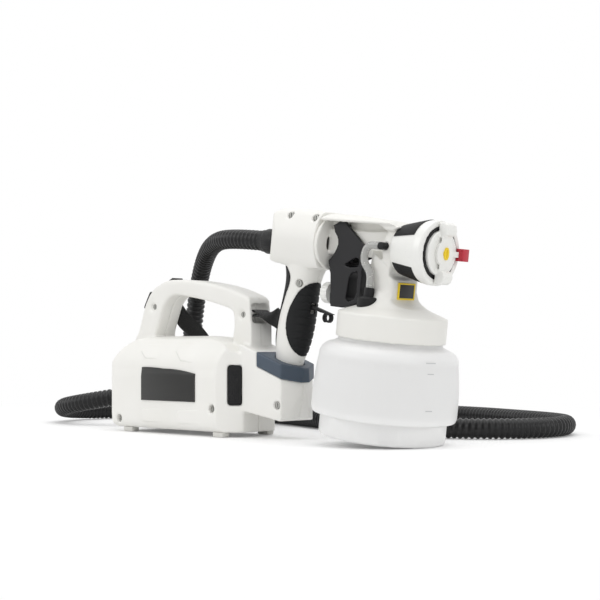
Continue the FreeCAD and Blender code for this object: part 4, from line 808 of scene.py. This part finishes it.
def tube_along(name, line, radius_at, sides):
    """A round tube along a line, with its radius given step by step and its ends closed."""
    rings, faces, verts = [], [], []
    tangent = (line[1] - line[0]).normalized()
    side = tangent.orthogonal().normalized()
    for i, point in enumerate(line):
        ahead = line[min(i + 1, len(line) - 1)] - line[max(i - 1, 0)]
        turn = tangent.rotation_difference(ahead.normalized())
        side = (turn @ side).normalized()
        tangent = ahead.normalized()
        up = tangent.cross(side)
        rings.append(len(verts))
        for k in range(sides):
            angle = 2 * math.pi * k / sides
            verts.append(point + (side * math.cos(angle) + up * math.sin(angle)) * radius_at(i))
    for a, b in zip(rings, rings[1:]):
        for k in range(sides):
            j = (k + 1) % sides
            faces.append((a + k, a + j, b + j, b + k))
    faces.append(tuple(reversed(range(sides))))
    faces.append(tuple(range(rings[-1], rings[-1] + sides)))
    return settle(new_piece(name, verts, [], faces))


# %% [markdown]
# The ribbed tube is one piece from the gun to the base, and it doesn't ride on either.

# %% Air hose
RIB_PITCH = 5.7 * MM
RIB_PROFILE = (10.0, 9.85, 9.0, 8.6, 9.0, 9.85)
RIB_STEPS = len(RIB_PROFILE)
hose_line, hose_total = even_steps(smooth_line("hose_line", route), RIB_PITCH / RIB_STEPS)
hose = tube_along("air_hose_ribbed", hose_line, lambda i: RIB_PROFILE[i % RIB_STEPS] * MM, 18)
clad(hose, HOSE_PVC, 80)
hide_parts("air_hose")
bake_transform(hose)
print("hose:", round(hose_total, 3), "m,", len(hose.data.polygons), "faces")

# %% [markdown]
# The carrying strap is one ribbon of flat webbing. A curve with a flat profile would choose its own
# twist at the bends. So it is a strip of squares along a line, with its width laid in a chosen
# direction at each point. It gets its weave map first and its thickness after.

# %% Webbing along a line
STRAP_WIDTH = 20 * MM
STRAP_THICKNESS = 1.4 * MM


def curve_through(points, across, steps):
    """A smooth line through the points, in steps, with the width direction at each step."""
    line, ways = [], []
    for i in range(len(points) - 1):
        p0, p3 = points[i], points[i + 1]
        before, after = points[max(i - 1, 0)], points[min(i + 2, len(points) - 1)]
        reach = (p3 - p0).length / 3
        p1, p2 = p0 + (p3 - before).normalized() * reach, p3 - (after - p0).normalized() * reach
        for k in range(steps):
            t = k / steps
            line.append(p0 * (1 - t) ** 3 + p1 * 3 * t * (1 - t) ** 2
                        + p2 * 3 * t * t * (1 - t) + p3 * t ** 3)
            ways.append(across[i].lerp(across[i + 1], t).normalized())
    return line + [points[-1]], ways + [across[-1].normalized()]


def ribbon(name, points, across):
    """Webbing along points, with one width direction for each point."""
    line, ways = curve_through(points, across, 6)
    shares = (-0.5, -0.25, 0, 0.25, 0.5)
    verts = [point + way * STRAP_WIDTH * share for point, way in zip(line, ways) for share in shares]
    count = len(shares)
    faces = [(i * count + k, i * count + k + 1, (i + 1) * count + k + 1, (i + 1) * count + k)
             for i in range(len(line) - 1) for k in range(count - 1)]
    piece = new_piece(name, verts, [], faces)
    weave = piece.data.uv_layers.new(name="weave")
    walked = [0.0]
    for a, b in zip(line, line[1:]):
        walked.append(walked[-1] + (b - a).length / MM)
    for loop in piece.data.loops:
        row, column = divmod(loop.vertex_index, count)
        weave.data[loop.index].uv = (walked[row], shares[column] * STRAP_WIDTH / MM)
    print(name, round(walked[-1]), "mm long")
    use_modifier(piece, "SOLIDIFY", thickness=STRAP_THICKNESS, offset=0)
    use_modifier(piece, "SUBSURF", levels=1, render_levels=1)
    return clad(piece, WEBBING, 60)


# %% [markdown]
# The strap's route has three parts. Its rear end is tucked into a slot of the leaning leg, so those
# points are measured on that leg. The free run hangs behind the base, and each of its points brings
# its own width direction. The front end goes round a bar hidden in the front leg, and back under
# itself.

# %% Strap
LEG = Matrix.Translation(on_base(-64.6, 0, 138)) @ Matrix.Rotation(math.radians(31.4), 4, "Y")
LEG_UP = LEG.to_3x3() @ Vector((0, 0, 1))
ON_LEG = [(5, -11.9), (-1, -11.9), (-1.7, -10.5), (-1.7, 0), (-1.7, 13.2), (-1, 15.4), (1, 16.1), (9, 16.1)]
FREE_RUN = [
    (-49.5, 17.3, 127, 0.52, 0, 0.85), (-44, 20, 118, 0.62, 0.1, 0.78), (-36, 28, 107, 0.75, 0.1, 0.65),
    (-28, 38, 93, 0.86, -0.1, 0.5), (-18, 45.4, 77, 0.88, -0.2, 0.42), (0, 47.4, 61, 0.6, -0.05, 0.8),
    (26, 47, 54, 0.1, 0, 1), (54, 46.6, 60, -0.4, 0, 0.92), (76, 43.5, 77, -0.6, 0.2, 0.74),
    (92, 34, 96, -0.5, 0.5, 0.7), (103, 18, 112, -0.3, 0.55, 0.78), (106.5, 5, 119, 0.1, 0.5, 0.85)]
ROUND_BAR = [(98.6, 0, 121.8), (93.6, 0, 124.4), (90.6, 0, 124.6), (88.2, 0, 123.2), (87.8, 0, 121.2),
             (89.2, 0, 119.2), (92, 0, 119), (98, 0, 119.6), (103, -0.5, 117)]
strap_points = [LEG @ Vector((x * MM, y * MM, 0)) for x, y in ON_LEG]
strap_points += [on_base(*row[:3]) for row in FREE_RUN]
strap_points += [on_base(*row) for row in ROUND_BAR]
strap_widths = [LEG_UP] * len(ON_LEG)
strap_widths += [Vector(row[3:]) for row in FREE_RUN]
strap_widths += [Vector((0, 1, 0))] * len(ROUND_BAR)
stand_in(ribbon("strap_webbing", strap_points, strap_widths), "strap")

# %% [markdown]
# The nut has two rubber patches moulded into its cone, top and bottom. They could be cut from a copy
# of the nut, but a spin gives clean even faces. A patch is a profile line spun part of the way round
# the nut's own axis, thickened and rounded.

# %% Rubber patches on the nut
NUT_CONE = [(8.6, 22.3), (14, 23.6), (20, 24.9), (27, 26.4), (35.5, 28.15)]
PATCH_SPREAD = 120
PATCH_THICKNESS = 0.7 * MM


def nut_patch(name, middle):
    """Spin the cone's (x, radius) points about the nozzle's axis, from one side of middle to the other."""
    start = math.radians(middle + PATCH_SPREAD / 2)
    verts = [(x * MM, r * MM * math.cos(start), (NOZZLE_Z * MM) + r * MM * math.sin(start))
             for x, r in NUT_CONE]
    piece = new_piece(name, verts, [(i, i + 1) for i in range(len(verts) - 1)], [])
    edit(piece)
    bpy.ops.mesh.spin(steps=18, angle=math.radians(PATCH_SPREAD), center=(0, 0, NOZZLE_Z * MM),
                      axis=(1, 0, 0))
    leave_edit()
    settle(piece)
    use_modifier(piece, "SOLIDIFY", thickness=PATCH_THICKNESS, offset=1)
    use_modifier(piece, "BEVEL", width=0.35 * MM, segments=2, limit_method="ANGLE",
                 angle_limit=math.radians(50))
    settle(piece, GUN_PLACE)
    clad(piece, PATCH_RUBBER, 40)
    add_on(piece, "union_nut")
    print(name, len(piece.data.polygons), "faces")


for label, middle in (("top", 90), ("bottom", -90)):
    nut_patch(f"nut_patch_{label}", middle)

# %% [markdown]
# Six plain ticks are moulded into the cup's wall as a level gauge. A texture could draw them, but as
# raised strips they are part of the shape. They are of the cup's own plastic and are painted grey as
# shade, so they show as lines. Each is a short strip that follows the wall, spun about the cup's own
# axis. The wall is upright low down, and leans in above.

# %% Level ticks on the cup
# The ticks' grey is painted shade. The ticks themselves are the cup's own milky plastic.
TICK_PE_PAINTED_SHADE = milky_plastic("polyethylene_tick_painted_shade", "C9CACB", 2, 0.3, 0.4)
CUP_RADIUS = 66
UPRIGHT_TO = 35
LEAN_IN, LEAN_OVER = 3, 36
TICKS_TURN = -15
# Each row gives a tick's height in mm and how far it reaches round the cup in degrees
TICKS = ((75.5, 9), (66.1, 6), (56.8, 6), (50, 9), (42.1, 6), (34.3, 6))
for number, (height, reach) in enumerate(TICKS):
    wall = CUP_RADIUS - LEAN_IN * (max(0, height - UPRIGHT_TO) / LEAN_OVER)
    verts = [((wall + 0.15) * MM, 0, (height + dz) * MM) for dz in (-0.35, 0.35)]
    tick = new_piece(f"cup_tick_{number}", verts, [(0, 1)], [])
    edit(tick)
    bpy.ops.mesh.spin(steps=6, angle=math.radians(reach), center=(0, 0, 0), axis=(0, 0, 1))
    leave_edit()
    settle(tick)
    use_modifier(tick, "SOLIDIFY", thickness=0.4 * MM, offset=0)
    settle(tick, GUN_PLACE @ Matrix.Rotation(math.radians(TICKS_TURN + reach / 2), 4, "Z"))
    clad(tick, TICK_PE_PAINTED_SHADE, 40)
    add_on(tick, "cup")
print("ticks:", len(TICKS))

# %% [markdown]
# The floor is plain and pale. It takes the object's shadow, and a little light of its own, seen only
# by the camera and by reflections, lifts it to paper white. Between 0.42 and 0.9 metres from the
# middle it turns bit by bit into plain white light, so no horizon shows.

# %% Floor
FLOOR_GLOW = 0.12
FADE_START, FADE_END = 0.42, 0.9
UNSEEN_LIGHT = 0.62


def seen_share(tree):
    """1 for rays from the camera, from gloss and through clear things, else 0."""
    path = add_node(tree, "LightPath")
    first = add_node(tree, "Math", {0: path.outputs["Is Camera Ray"], 1: path.outputs["Is Glossy Ray"]},
                     operation="MAXIMUM")
    return add_node(tree, "Math", {0: first.outputs[0], 1: path.outputs["Is Transmission Ray"]},
                    operation="MAXIMUM").outputs[0]


bpy.ops.mesh.primitive_plane_add(size=9, location=(0, 0, 0))
floor = bpy.context.object
floor.name = "floor"
floor_paint, tree, shader = new_finish("studio_floor_white", Base_Color=linear("F4F4F4"), Roughness=0.7)
glow = add_node(tree, "Math", {0: seen_share(tree), 1: FLOOR_GLOW}, operation="MULTIPLY")
tree.links.new(glow.outputs[0], shader.inputs["Emission Strength"])
shader.inputs["Emission Color"].default_value = (1, 1, 1, 1)
place = add_node(tree, "TexCoord")
away = add_node(tree, "VectorMath", {0: place.outputs["Object"]}, operation="LENGTH")
fade = add_node(tree, "MapRange", {"Value": away.outputs["Value"], "From Min": FADE_START,
                                   "From Max": FADE_END}, interpolation_type="SMOOTHSTEP")
level = add_node(tree, "MapRange", {"Value": seen_share(tree), "To Min": UNSEEN_LIGHT, "To Max": 1.0})
light = add_node(tree, "Emission", {"Color": (1, 1, 1, 1), "Strength": level.outputs["Result"]})
both = add_node(tree, "MixShader", {0: fade.outputs["Result"], 1: shader.outputs["BSDF"],
                                    2: light.outputs["Emission"]})
tree.links.new(both.outputs["Shader"], tree.nodes["Material Output"].inputs["Surface"])
floor.data.materials.append(floor_paint)
print("floor:", tuple(round(side, 1) for side in floor.dimensions))

# %% [markdown]
# The air round the object is white where it is seen and a little weaker as light on the object, so
# pale surfaces keep their shade. Three large soft lamps add the direction: one above, one from
# the left of the camera, and a weaker one from the right. Standard view keeps colours as written.

# %% World and lamps
world = bpy.data.worlds.new("studio_air")
bpy.context.scene.world = world
world.use_nodes = True
air = world.node_tree
backdrop = add_node(air, "MapRange", {"Value": seen_share(air), "To Min": UNSEEN_LIGHT, "To Max": 1.0})
ground = air.nodes["Background"]
ground.inputs["Color"].default_value = (1, 1, 1, 1)
air.links.new(backdrop.outputs["Result"], ground.inputs["Strength"])


def softbox(name, place, aim, size, power):
    """A square lamp at a place, turned to a point; its size in metres, its power in watts."""
    bpy.ops.object.light_add(type="AREA", location=place)
    lamp = bpy.context.object
    lamp.name = name
    lamp.data.size = size
    lamp.data.energy = power
    lamp.rotation_euler = (Vector(aim) - Vector(place)).to_track_quat("-Z", "Y").to_euler()


softbox("lamp_top", (0.1, 0.1, 1.6), (0, 0, 0.1), 1.4, 9)
softbox("lamp_key", (-0.9, -1.5, 1.2), (0, 0, 0.1), 1.0, 9)
softbox("lamp_right", (1.6, -0.3, 0.9), (0.1, 0, 0.1), 0.9, 5)

bpy.context.scene.view_settings.view_transform = "Standard"
